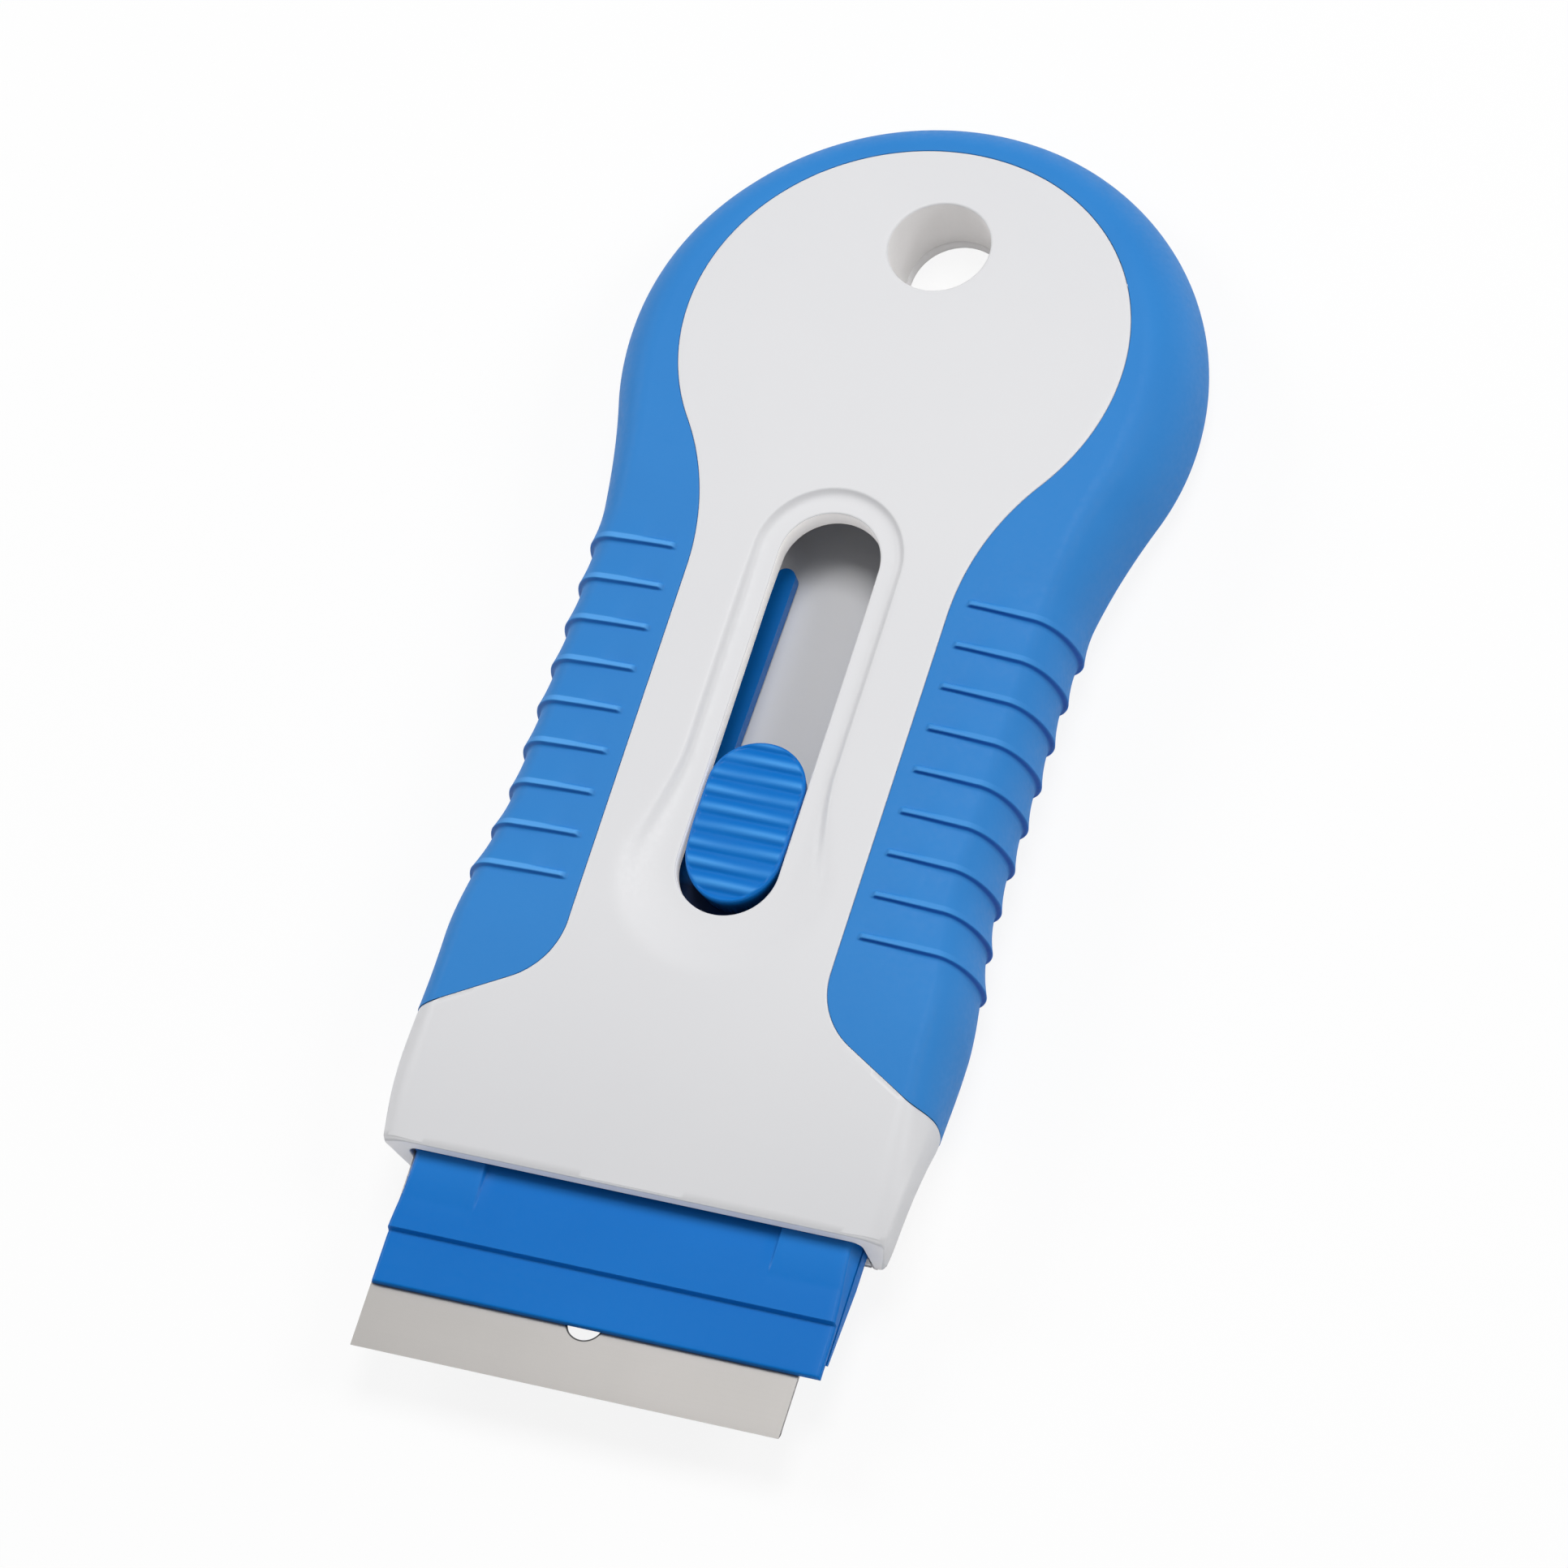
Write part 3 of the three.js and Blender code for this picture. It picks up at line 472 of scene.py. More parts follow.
def tailArc(gap, startY, count):
    radius = panel["radius"] + gap
    angle = np.linspace(math.asin((startY - panel["centreY"]) / radius), quarterTurn, count)
    line = planOf(radius * np.cos(angle), panel["centreY"] + radius * np.sin(angle))
    line[-1, 0] = 0
    return line


def panelSide(gap):  # from the fillet to the line that splits the panel's skin
    return chain(
        filletArc(gap),
        neckLine(gap, panel["filletY"], panel["neckEnd"], panel["neckPoints"]),
        neckLine(gap, panel["neckEnd"], panel["splitY"], panel["shoulderPoints"]),
    )


def panelTail(gap):
    return tailArc(gap, panel["splitY"], panel["tailPoints"])


def splitLine(gap):  # from the middle to the edge
    endX = float(neckHalfAt(np.array(panel["splitY"]), gap))
    return straight((0, panel["splitY"]), (endX, panel["splitY"]), panel["splitPoints"])


# Soft grip: sections from the panel's edge round the side to the back, carried round the horseshoe
grip = {
    "seam": 0.03, "edgeRound": 0.08, "lipDepth": 1.5, "side": 1.6, "coreGap": 0.2, "skin": 1.0, "land": 0.4,
    "levelBehind": 2.1, "levelGap": 0.1, "bulbGap": 0.6, "bulbRows": 44, "tailRows": 60,
    "ribs": 9, "pitch": 3.99, "firstRib": 25.48, "ribInset": 1.4, "ribTaper": 0.3,
    "steep": 0.22, "sideSteep": 0.35, "bead": 0.52, "beadPower": 4, "beadFade": 0.75,
    "waveRange": (2.2, 7.0), "waveAngle": 0.6, "waveRun": 3.7, "waveFall": 1.9,
    # how strong the painted highlight and painted shade on the ribs are, and where they lie
    "topHeight": 0.4, "sideHeight": 0.56, "rightHighlight": 0.45, "leftShade": 0.5, "highlightAhead": 0.06,
    "highlightRange": (0.15, 0.6), "highlightPower": 8, "shadeRange": (-1.2, -0.6),
    "crown": 0.45, "crownRise": (18, 27), "crownFall": (57, 66),
    "ribRows": [  # places of the sections behind each crest, closest where the bead turns
        -1, -0.6, -0.34, -0.23, -0.18, -0.13, -0.09, -0.04, 0, 0.05, 0.1, 0.17, 0.24, 0.31, 0.37, 0.42,
        0.47, 0.54, 0.65, 0.85, 1.15, 1.5, 2, 2.5,
    ],
}


def gripStations(gap):  # pairs of plan points: on the panel's edge, and on the outside
    footY = slantFoot(gap)[1]
    tipY = panel["tipY"] + gap / math.cos(panel["slope"])
    levelY = panel["filletY"] + grip["levelBehind"]
    crests = grip["firstRib"] + grip["pitch"] * np.arange(grip["ribs"])
    ribY = (crests[:, None] + grip["ribRows"]).ravel()
    frontY = np.linspace(panel["filletY"], levelY, 6)[1:]
    bulbY = np.linspace(ribY[-1] + grip["bulbGap"], body["tailCentre"], grip["bulbRows"])
    y = join(frontY, ribY[ribY > levelY + grip["levelGap"]], bulbY)
    sides = join(filletArc(gap), planOf(neckHalfAt(y, gap), y))
    inner = join(sides, tailArc(gap, body["tailCentre"], grip["tailRows"])[1:])
    slanted = mix(tipY, levelY, (sides[:, 1] - footY) / (levelY - footY))
    y = np.where(sides[:, 1] < levelY, slanted, sides[:, 1])
    angle = quarterAngles(grip["tailRows"])[1:]
    tailX, tailY = body["tailRadius"] * np.cos(angle), body["tailCentre"] + body["tailRadius"] * np.sin(angle)
    outer = join(planOf(bodyHalf(y), y), planOf(tailX, tailY))
    outer[-1, 0] = 0
    return inner, outer


def behindRib(y):  # distance behind the crest of the nearest rib, below 0 on its steep face
    number = np.floor((y - grip["firstRib"] + grip["sideSteep"]) / grip["pitch"])
    return y - grip["firstRib"] - np.clip(number, 0, grip["ribs"] - 1) * grip["pitch"]


# A bead with a steep face towards the blade, and a hollow slope behind it that grows outwards
def ribShare(y, wave):
    behind = behindRib(y)
    power = grip["beadPower"]
    rise = smoothStep(behind, -mix(grip["steep"], grip["sideSteep"], wave), 0)
    bead = np.clip(1 - (np.maximum(behind, 0) / grip["bead"]) ** power, 0, 1)
    slope = wave * np.clip(1 - np.maximum(behind, 0) / grip["waveRun"], 0, 1) ** grip["waveFall"]
    share = 1 - grip["beadFade"] * wave
    joined = (((share * bead) ** power + slope**power) / (share**power + wave**power)) ** (1 / power)
    return np.where(behind < 0, rise, joined)


def steepShade(y, share):  # 1 half way up the steep face, 0 at its foot and its crest
    return (behindRib(y) < 0) * np.sqrt(4 * share * (1 - share))


def sideRounding(outer, length):  # how far in from the widest line the round side starts
    return np.minimum(body["sideRound"] + body["tailRoundGain"] * swell(outer[:, 1:]), length - grip["land"])


def underSide(y, rounding, depth):  # highest place for the core, a skin's thickness under the round side
    return sideZ(y, np.arccos(1 - depth / rounding)) - grip["skin"]


# Lip, top less a crown, round side, back, lip and core, with ribs standing on the top and out from the side
def gripSections(inner, outer):
    length = np.linalg.norm(outer - inner, axis=-1)[:, None]
    out = unit(outer - inner)
    rounding = sideRounding(outer, length)
    edge, cap = grip["edgeRound"], grip["lipDepth"]

    def lifted(distance, height):  # plan distance from the panel's edge, height worked out at that place
        distance = np.broadcast_to(distance, (len(inner), np.shape(distance)[-1]))
        plan = inner[:, None] + out[:, None] * distance[..., None]
        return raised(plan, height(plan[..., 1]))

    turn = quarterAngles(5)
    lipDown = join([cap], edge - edge * np.sin(turn))
    lipOut = join([0], edge - edge * np.cos(turn))
    topLip = lifted(lipOut[None], lambda y: topZ(y) - lipDown)
    backLip = lifted(lipOut[None, ::-1], lambda y: backZ(y) + lipDown[::-1])
    flat = length - rounding
    topShare = shares(38)[1:]
    topAt = mix(edge, flat, topShare[None])
    top = lifted(topAt, topZ)
    angle = np.linspace(quarterTurn, -quarterTurn, 37)[1:]
    side = lifted(length - rounding * (1 - np.cos(angle)), lambda y: sideZ(y, angle))
    back = lifted(mix(flat, edge, shares(9)[None, 1:-1]), backZ)
    depth = grip["side"] - grip["coreGap"]
    coreLow = lifted(length - depth, lambda y: backZ(y) + cap)
    coreHigh = lifted(length - depth, lambda y: np.minimum(topZ(y) - cap, underSide(y, rounding, depth)))

    stationY = outer[:, 1:]
    upward = np.maximum(np.sin(angle), 0)
    crown = smoothStep(stationY, *grip["crownRise"]) * (1 - smoothStep(stationY, *grip["crownFall"]))
    crown = grip["crown"] * crown
    top[..., 2] -= crown * topShare**2
    side[..., 2] -= crown * upward
    side[..., 1] += smoothStep(-stationY, -panel["filletY"], -panel["tipY"]) * seamBow(angle, True)
    ribEnd = grip["firstRib"] + grip["pitch"] * grip["ribs"]
    ribbed = (stationY > grip["firstRib"] - grip["sideSteep"]) & (stationY < ribEnd)
    onTop = smoothStep(topAt, grip["ribInset"], grip["ribInset"] + grip["ribTaper"])
    wave = smoothStep(topAt, *grip["waveRange"])
    topRib = ribShare(stationY, wave)
    top[..., 2] += ribbed * onTop * grip["topHeight"] * topRib
    sideWave = mix(wave[:, -1:], 1, smoothStep(-angle, -quarterTurn, -grip["waveAngle"])[None])
    sideRib = ribShare(stationY, sideWave)
    upper = mix(grip["sideHeight"], grip["topHeight"], np.sin(angle))
    height = ribbed * np.where(angle > 0, upper, grip["sideHeight"] * np.cos(angle))[None] * sideRib
    side[..., :2] += out[:, None] * (height * np.cos(angle))[..., None]
    side[..., 2] += height * np.sin(angle)
    section = join(topLip, top, side, back, backLip, coreLow, coreHigh, axis=1)

    # painted highlight on the tops of the beads and painted shade half way up their steep faces
    beadHighlight = smoothStep(ribShare(stationY, 0 * stationY), *grip["highlightRange"])
    beadHighlight = beadHighlight * (behindRib(stationY) > -grip["highlightAhead"])
    topBand = onTop * (beadHighlight - steepShade(stationY, topRib))
    shade = steepShade(stationY, sideRib) * smoothStep(angle, *grip["shadeRange"])
    bands = join(topBand, upward ** grip["highlightPower"] * beadHighlight - shade, axis=1)
    crest = np.zeros(section.shape[:2])
    crest[:, topLip.shape[1]:topLip.shape[1] + bands.shape[1]] = ribbed * bands
    return section, crest


right, crest = gripSections(*gripStations(grip["seam"]))
horseshoe = join(right, right[-2::-1] * (-1, 1, 1))
# the painted highlight is weaker on the right half, the painted shade weaker on the left
rightPaintedLight = np.where(crest > 0, grip["rightHighlight"] * crest, crest)
leftPaintedLight = np.where(crest < 0, grip["leftShade"] * crest, crest)
crest = join(rightPaintedLight, leftPaintedLight[-2::-1])
gripGrid = sheet(horseshoe, loop=True, caps=True, crest=crest)
makePiece("softGrip", [gripGrid], gripRubber, "housing", "soft_grip", sharpAngle=60)

# Front shell: skins round the slot and the hang hole, the nose with its mouth, the edge and walls at the grip
shell = {
    "edge": 0.1, "groove": 1.4, "wall": 0.2, "sillZ": 1.25, "sillRange": (0.3, 1.5), "coreTuck": 2,
    "mouthZ": 7.5, "pocketHalf": 20.65, "pocketEndY": 24.45, "pocketCorner": 1.0, "cornerShare": 0.25,
    "lipRound": 0.2, "cornerRound": 0.4, "cornerRange": (0.93, 1.3), "innerRound": 0.22,
    "footRound": 0.15, "wallLean": 1.1, "lipGlow": 0.48, "holeY": 91.15,
    "hole": {"radius": 4.55, "round": 0.25, "endZ": 1.4, "glow": 0.38, "bend": 0.3, "steps": 7, "rings": 30},
    "slot": {
        "half": 4.6, "frontY": 25.2, "length": 38.55, "rimRound": 0.18, "wallZ": 9.5, "rearWallZ": 9.0,
        "glow": 1, "frontDepth": 0.6, "sideDepth": 0.7, "rearDepth": 0.55,
        "sideWidth": 2.2, "frontWidth": 4.3,
        "frontRange": (26, 40), "deepRange": (27, 42), "rearRange": (54, 63),
        "frontSoft": 0.9, "sideSoft": 0.4, "rearSoft": 0.04, "power": 6, "frontPower": 2,
        "fadeFrom": 0.8, "reach": 1.45, "spread": 1.2, "footPlace": 0.36, "bendPlace": 0.6,
    },
}
slot = shell["slot"]
slotRun = slot["length"] - 2 * slot["half"]
slotQuarter = slot["half"] * quarterTurn  # length of a quarter of its round end
glowRows = slice(3)  # rings of a hole's wall that get a painted glow


def slotPoints(along, grow):  # half of a long hole with round ends, from its front middle to its rear middle
    half = slot["half"]
    frontAngle = np.clip(along / half, 0, quarterTurn) - quarterTurn
    rearAngle = np.clip((along - slotQuarter - slotRun) / half, 0, quarterTurn)
    angle = frontAngle + rearAngle
    x = (half + grow) * np.cos(angle)
    y = slot["frontY"] + half + np.clip(along - slotQuarter, 0, slotRun) + (half + grow) * np.sin(angle)
    return np.where(np.abs(x) < tiny, 0, x), y


def slotPlaces(outline):  # how far along the slot's edge the line to each outline point starts
    x, y = outline[:, 0], outline[:, 1] - slot["frontY"] - slot["half"]
    rear = slot["half"] * np.arctan2(np.maximum(y - slotRun, 0), x)
    place = slotQuarter + np.clip(y, 0, slotRun) + rear  # nearest point, right beside the slot and behind it
    walked = join([0], np.cumsum(np.linalg.norm(np.diff(outline, axis=0), axis=-1)))
    foot = panel["frontPoints"] - 1
    bend = foot + panel["filletPoints"] - 1
    last = int(np.argmax(y > slot["spread"]))
    fan = [0, slot["footPlace"] * slotQuarter, slot["bendPlace"] * slotQuarter, place[last]]
    place[:last] = np.interp(walked[:last], walked[[0, foot, bend, last]], fan)
    return place


def slotSkin():  # rings: up the slot's wall, over its rim, out through the dish, then straight to the edge
    gap = -shell["edge"]
    footX, footY = slantFoot(gap)
    front = straight((0, footY), (footX, footY), panel["frontPoints"])
    outline = chain(front, panelSide(gap), splitLine(gap)[::-1])
    along = slotPlaces(outline)

    edgeY = slotPoints(along, 0)[1]
    rearShare = smoothStep(edgeY, *slot["rearRange"])
    frontShare = 1 - smoothStep(edgeY, *slot["frontRange"])
    width = mix(slot["sideWidth"], slot["frontWidth"], frontShare)
    soft = mix(slot["sideSoft"], slot["rearSoft"], rearShare)
    soft = soft + (slot["frontSoft"] - slot["sideSoft"]) * frontShare
    power = mix(slot["power"], slot["frontPower"], frontShare)
    deepShare = smoothStep(edgeY, *slot["deepRange"])
    deepest = mix(mix(slot["frontDepth"], slot["sideDepth"], deepShare), slot["rearDepth"], rearShare)

    def dished(y, out):  # a bowl that is flat at the slot and steepens to its outer edge, which is softened
        depth = deepest * (1 - smoothStep(out, slot["fadeFrom"], slot["reach"]))
        bowl = 1 - np.maximum(out, 0) ** power
        return topZ(y) - depth * (bowl + np.sqrt(bowl**2 + soft**2)) / 2

    outward, down = roundOver(6)
    rim = slot["rimRound"]
    wall = pointsOf(*slotPoints(along[None], 0), mix(slot["wallZ"], slot["rearWallZ"], rearShare))
    x, y = slotPoints(along[None], rim * outward)
    rims = pointsOf(x, y, dished(y, 0 * outward) - rim * down)
    out = mix(rim / width, slot["reach"], shares(34)[1:, None])
    x, y = slotPoints(along[None], out * width)
    rings = spreadOut(join(wall, rims, pointsOf(x, y, dished(y, out))), outline, 18, topZ)
    return sheet(rings, turned=True, crest=marked(rings, slot["glow"], glowRows))


# Rings: along the hang hole's wall, over its rim, then straight to the edge
def holeSkin(hole, stretches, height, way):
    bend = -hole["bend"] * halfTurn  # where the straight front of the border meets its round tail
    front, tail = [len(stretch) for stretch in stretches]
    angle = chain(np.linspace(-quarterTurn, bend, front), np.linspace(bend, quarterTurn, tail))
    outward, down = roundOver(hole["steps"])
    radius = hole["radius"] + join([[0]], hole["round"] * outward)
    x, y = radius * np.cos(angle), shell["holeY"] + radius * np.sin(angle)
    x[:, [0, -1]] = 0
    z = height(y) - way * join([[0]], hole["round"] * down)
    z[0] = hole["endZ"]
    rings = spreadOut(pointsOf(x, y, z), chain(*stretches), hole["rings"], height)
    return sheet(rings, turned=way > 0, crest=marked(rings, hole["glow"], glowRows))


# Place 0 to 1 crosses the top, 1 to 2 goes round the side, 2 to 3 comes in under it
def noseSection(place, y):
    half = bodyHalf(y)
    foot = mix(shell["footRound"], body["sideRound"], smoothStep(y, 0, panel["tipY"]))
    lean = shell["wallLean"] * (1 - np.clip(y / panel["tipY"], 0, 1) ** 2)
    spare = (half - shell["pocketHalf"] - foot) / np.hypot(lean, foot)
    lowest = -np.minimum(quarterTurn, np.arctan2(foot, lean) + np.arcsin(np.clip(spare, -1, 1)))
    angle = mix(quarterTurn, lowest, np.clip(place - 1, 0, 1))
    drawn = np.where(angle > 0, body["sideRound"], foot)
    x = np.minimum(place, 1) * (half - body["sideRound"]) + (place > 1) * body["sideRound"]
    x = x - (place > 1) * (drawn * (1 - np.cos(angle)) + lean * np.maximum(-np.sin(angle), 0))
    x = mix(x, shell["pocketHalf"], np.clip(place - 2, 0, 1))
    return x, np.where(place > 1, sideZ(y, angle), topZ(y)), angle


def pocketSection(place, floorZ):  # the same places on the pocket: ceiling, rounded corner, wall
    corner, bend = shell["pocketCorner"], shell["cornerShare"]
    angle = quarterTurn * (1 - np.clip((place - 1) / bend, 0, 1))
    x = np.minimum(place, 1) * (shell["pocketHalf"] - corner) + (place > 1) * corner * np.cos(angle)
    z = shell["mouthZ"] - corner + corner * np.sin(angle)
    return x, mix(z, floorZ, np.clip((place - 1 - bend) / (1 - bend), 0, 1))


# Profiles: along the outside to the mouth, over its edge, down its face and back along the pocket
def noseSkin():
    gap = -shell["edge"]
    footX = slantFoot(gap)[0]
    footPlace = footX / (body["noseHalf"] - body["sideRound"])
    front = np.linspace(0, footPlace, panel["frontPoints"])
    slant = np.linspace(footPlace, 1, panel["slantPoints"])
    place = chain(front, slant, np.linspace(1, 2, 33), np.linspace(2, 3, 4))
    acrossX, _, sideAngle = noseSection(place, np.full_like(place, panel["tipY"]))
    endY = slantY(np.maximum(acrossX, footX), gap) + seamBow(sideAngle, place > 1)
    corner = smoothStep(place, *shell["cornerRange"])
    edge = mix(shell["lipRound"], shell["cornerRound"], corner)
    outerY = mix(endY[None], edge[None], shares(26)[:, None])
    x, z, angle = noseSection(place[None], outerY)
    outside = pointsOf(x, outerY, z)

    edgeX, edgeZ, _ = noseSection(place, 0 * place)
    innerX, innerZ = pocketSection(place, edgeZ[-1])
    face = planOf(innerX - edgeX, innerZ - edgeZ)
    width = np.linalg.norm(face, axis=-1)
    ahead = face / np.maximum(width, tiny)[:, None]
    innerEdge = np.minimum(shell["innerRound"], width / 3)
    edge = np.minimum(edge, width - 2 * innerEdge)
    outward, down = [line[1:] for line in roundOver(9)]
    rounding = edge * outward
    flat = mix(edge, width - innerEdge, shares(4)[1:, None])
    into = join(rounding, flat, width - innerEdge * down)
    faceY = join(edge * down, 0 * flat, innerEdge * outward)
    rim = pointsOf(edgeX + ahead[:, 0] * into, faceY, edgeZ + ahead[:, 1] * into)

    pocketY = mix(innerEdge[None], shell["pocketEndY"], shares(12)[1:, None])
    sill = shell["sillZ"] * smoothStep(pocketY, *shell["sillRange"])
    x, z = pocketSection(place[None], backZ(pocketY) + sill)
    points = join(outside, rim, pointsOf(x, pocketY, z))
    first = len(outside) + len(rounding) - 2  # the painted glow is on the flat face and a little to each side
    glow = marked(points, shell["lipGlow"], slice(first, first + len(flat) + 3))
    return sheet(points, turned=True, crest=glow), outside[0], angle[0], place


# A rounded edge along a line, then a wall straight into the part
def edgeStrip(path, normals, depth, edge, turned):
    tangent = unit(np.gradient(path, axis=0))
    across = unit(np.cross(tangent, normals)) * (1 if turned else -1)
    turn = quarterAngles(6)[:, None, None]
    curve = path + across * edge * np.sin(turn) - normals * edge * (1 - np.cos(turn))
    wall = path + across * edge - normals * depth
    return sheet(join(curve, wall[None]), turned=turned)


def slopeNormals(y, height, way, step=0.01):  # square to the slope between two places a step away
    rise = (height(y + step) - height(y - step)) / (2 * step)
    return unit(pointsOf(0 * y, -way * rise, way + 0 * y))


def shellEdge(noseLine, angle, place):  # up the nose's side, along the slant and round the panel to the tail
    gap = -shell["edge"]
    side = place >= 1
    sideLine = noseLine[side][::-1]
    sideAngle = angle[side][::-1]
    y = sideLine[:, 1]
    reach = np.where(sideAngle > 0, topZ(y) - sideZ(y, 0 * y), sideZ(y, 0 * y) - backZ(y))
    sideNormals = unit(pointsOf(reach * np.cos(sideAngle), 0 * y, body["sideRound"] * np.sin(sideAngle)))
    slant = slantLine(gap, body["noseHalf"] - body["sideRound"], panel["slantPoints"])
    x, y = chain(slant, panelSide(gap), panelTail(gap)).T
    path = join(sideLine[:-1], pointsOf(x, y, topZ(y)))
    normals = join(sideNormals[:-1], slopeNormals(y, topZ, 1))
    return edgeStrip(path, normals, shell["groove"], shell["edge"], True)


def coreWall():  # what the grip is moulded round: in under the panel's edge, down the side, in over the back
    inner, outer = gripStations(0)
    length = np.linalg.norm(outer - inner, axis=-1)[:, None]
    wall = length - grip["side"]
    distance = join(0 * length, wall, wall, wall - shell["coreTuck"], axis=1)
    plan = inner[:, None] + unit(outer - inner)[:, None] * distance[..., None]
    x, y = plan[..., 0], plan[..., 1]
    cap = grip["lipDepth"] + grip["coreGap"]
    z = np.where(np.arange(4) < 2, topZ(y) - cap, backZ(y) + cap)
    under = underSide(y[:, 1:2], sideRounding(outer, length), grip["side"]) - grip["coreGap"]
    z[:, 1:2] = np.minimum(z[:, 1:2], under)
    return sheet(pointsOf(x, y, z))


nose, noseLine, noseAngle, nosePlace = noseSkin()
shellGrids = [
    slotSkin(),
    holeSkin(shell["hole"], [splitLine(-shell["edge"]), panelTail(-shell["edge"])], topZ, 1),
    nose,
    shellEdge(noseLine, noseAngle, nosePlace),
    coreWall(),
]
makePiece(
    "frontShell", bothSides(shellGrids), whitePlastic,
    "housing", "front_shell", wall=shell["wall"],
)

# Rear cover: a flat back with screw sinks, the hang hole and a turned-up edge, and the floor of the nose
cover = {
    "gap": -0.1, "edge": 0.12, "groove": 1.3, "noseHalf": 20.62, "noseRound": 0.35, "floor": 1.4, "wall": 0.4,
    "acrossPoints": 31, "cellPoints": 25, "cells": [27, 39, 73, 86],
    "screwSpots": [(9.6, 33.05), (12.5, 79.95)],
    "hole": {"radius": 4.47, "round": 0.3, "endZ": 1.4, "glow": 0.2, "bend": 0.25, "steps": 6, "rings": 14},
    "sink": {
        "radius": 2.1, "lip": 0.12, "coneZ": 1.07, "shank": 1.15, "topZ": 1.4, "rimOut": 0.06, "rimUp": 0.05,
    },
}


def coverEdge(y):  # half width: straight beside the mouth, then the panel's slant, fillet and neck
    gap = cover["gap"]
    footX, footY = slantFoot(gap)
    slanted = np.minimum(cover["noseHalf"], footX + (footY - y) / math.tan(panel["slope"]))
    radius = panel["fillet"] - gap
    inFillet = np.minimum(panel["filletY"] - y, radius)
    fillet = panel["filletX"] - np.sqrt(np.maximum(0, radius**2 - inFillet**2))
    return np.where(y < footY, slanted, np.where(y < panel["filletY"], fillet, neckHalfAt(y, gap)))


def coverRows(startY, endY, count, lift=0):  # rows from the middle to the edge, on the back or lifted off it
    y = np.linspace(startY, endY, count)[:, None]
    x = (coverEdge(y) - cover["edge"]) * shares(cover["acrossPoints"])
    return pointsOf(x, y, backZ(y) + lift)


def coverNose():  # from the pocket's floor round the front edge to the back
    floor = coverRows(shell["pocketEndY"], cover["noseRound"], 16, cover["floor"])
    under = coverRows(0, cover["cells"][0], 60)
    turn = np.linspace(-quarterTurn, quarterTurn, 13)[:, None]
    half = cover["floor"] / 2
    frontZ = backZ(0 * turn) + half - half * np.sin(turn)
    front = pointsOf(under[:1, :, 0], cover["noseRound"] * (1 - np.cos(turn)), frontZ)
    return sheet(join(floor, front[:-1], under), turned=True)


def sinkCell(spot, lowY, highY):  # rings: down the countersink of a screw, then straight to the cell's border
    sink = cover["sink"]
    edgeY = np.linspace(lowY, highY, cover["cellPoints"])
    edgeX = coverEdge(edgeY) - cover["edge"]
    border = chain(
        straight((0, lowY), (edgeX[0], lowY), cover["acrossPoints"]),
        planOf(edgeX, edgeY),
        straight((edgeX[-1], highY), (0, highY), cover["acrossPoints"]),
        straight((0, highY), (0, lowY), cover["cellPoints"]),
    )[:-1]
    angle = np.arctan2(border[:, 1] - spot[1], border[:, 0] - spot[0])
    wide = sink["radius"]
    radius = np.array([sink["shank"], sink["shank"], wide, wide, wide + sink["rimOut"]])[:, None]
    height = np.array([sink["topZ"], sink["coneZ"], sink["lip"], sink["rimUp"], 0])[:, None]
    rings = pointsOf(spot[0] + radius * np.cos(angle), spot[1] + radius * np.sin(angle), height)
    return sheet(spreadOut(rings, border, 8, backZ), loop=True)


def coverTail(lowY):  # the skin round the hang hole, from a straight front to the round tail
    edgeX = float(coverEdge(np.array(lowY)) - cover["edge"])
    front = straight((0, lowY), (edgeX, lowY), cover["acrossPoints"])
    return holeSkin(cover["hole"], [front, tailArc(cover["gap"] - cover["edge"], lowY, 60)], backZ, -1)


def coverRim():  # from the mouth along the side, the slant and round the panel to the tail
    gap = cover["gap"] - cover["edge"]
    sideX = cover["noseHalf"] - cover["edge"]
    side = straight((sideX, cover["noseRound"]), (sideX, slantY(sideX, gap)), 30)
    x, y = chain(side, slantLine(gap, sideX, 16), panelSide(gap), panelTail(gap)).T
    normals = slopeNormals(y, backZ, -1)
    return edgeStrip(pointsOf(x, y, backZ(y)), normals, cover["groove"], cover["edge"], False)


cells = cover["cells"]
coverGrids = [
    coverNose(),
    sinkCell(cover["screwSpots"][0], cells[0], cells[1]),
    sheet(coverRows(cells[1], cells[2], 60), turned=True),
    sinkCell(cover["screwSpots"][1], cells[2], cells[3]),
    coverTail(cells[3]),
    coverRim(),
]
makePiece(
    "rearCover", bothSides(coverGrids), whitePlastic,
    "housing", "rear_cover", wall=cover["wall"],
)

# Slide track: the smooth floor under the slot between two guide rails, one profile carried along the length
track = {
    "frontY": 28, "endY": 84.45, "floorZ": 3.75, "lowZ": 0.9, "bevel": 0.15,
    "railZ": 5, "railIn": 6.5, "railOut": 7.4,
}
trackX = np.array([track["railOut"], track["railOut"], track["railIn"], track["railIn"]])
trackZ = np.array([track["lowZ"], track["railZ"], track["railZ"], track["floorZ"]])
trackY = np.linspace(track["frontY"], track["endY"], 12)[:, None]
profileX = join(-trackX, trackX[::-1])
profileZ = join(trackZ, trackZ[::-1])
trackGrid = sheet(pointsOf(profileX, trackY, profileZ), loop=True, caps=True)
makePiece(
    "slideTrack", [trackGrid], whitePlastic,
    "housing", "rear_cover", bevel=track["bevel"],
)

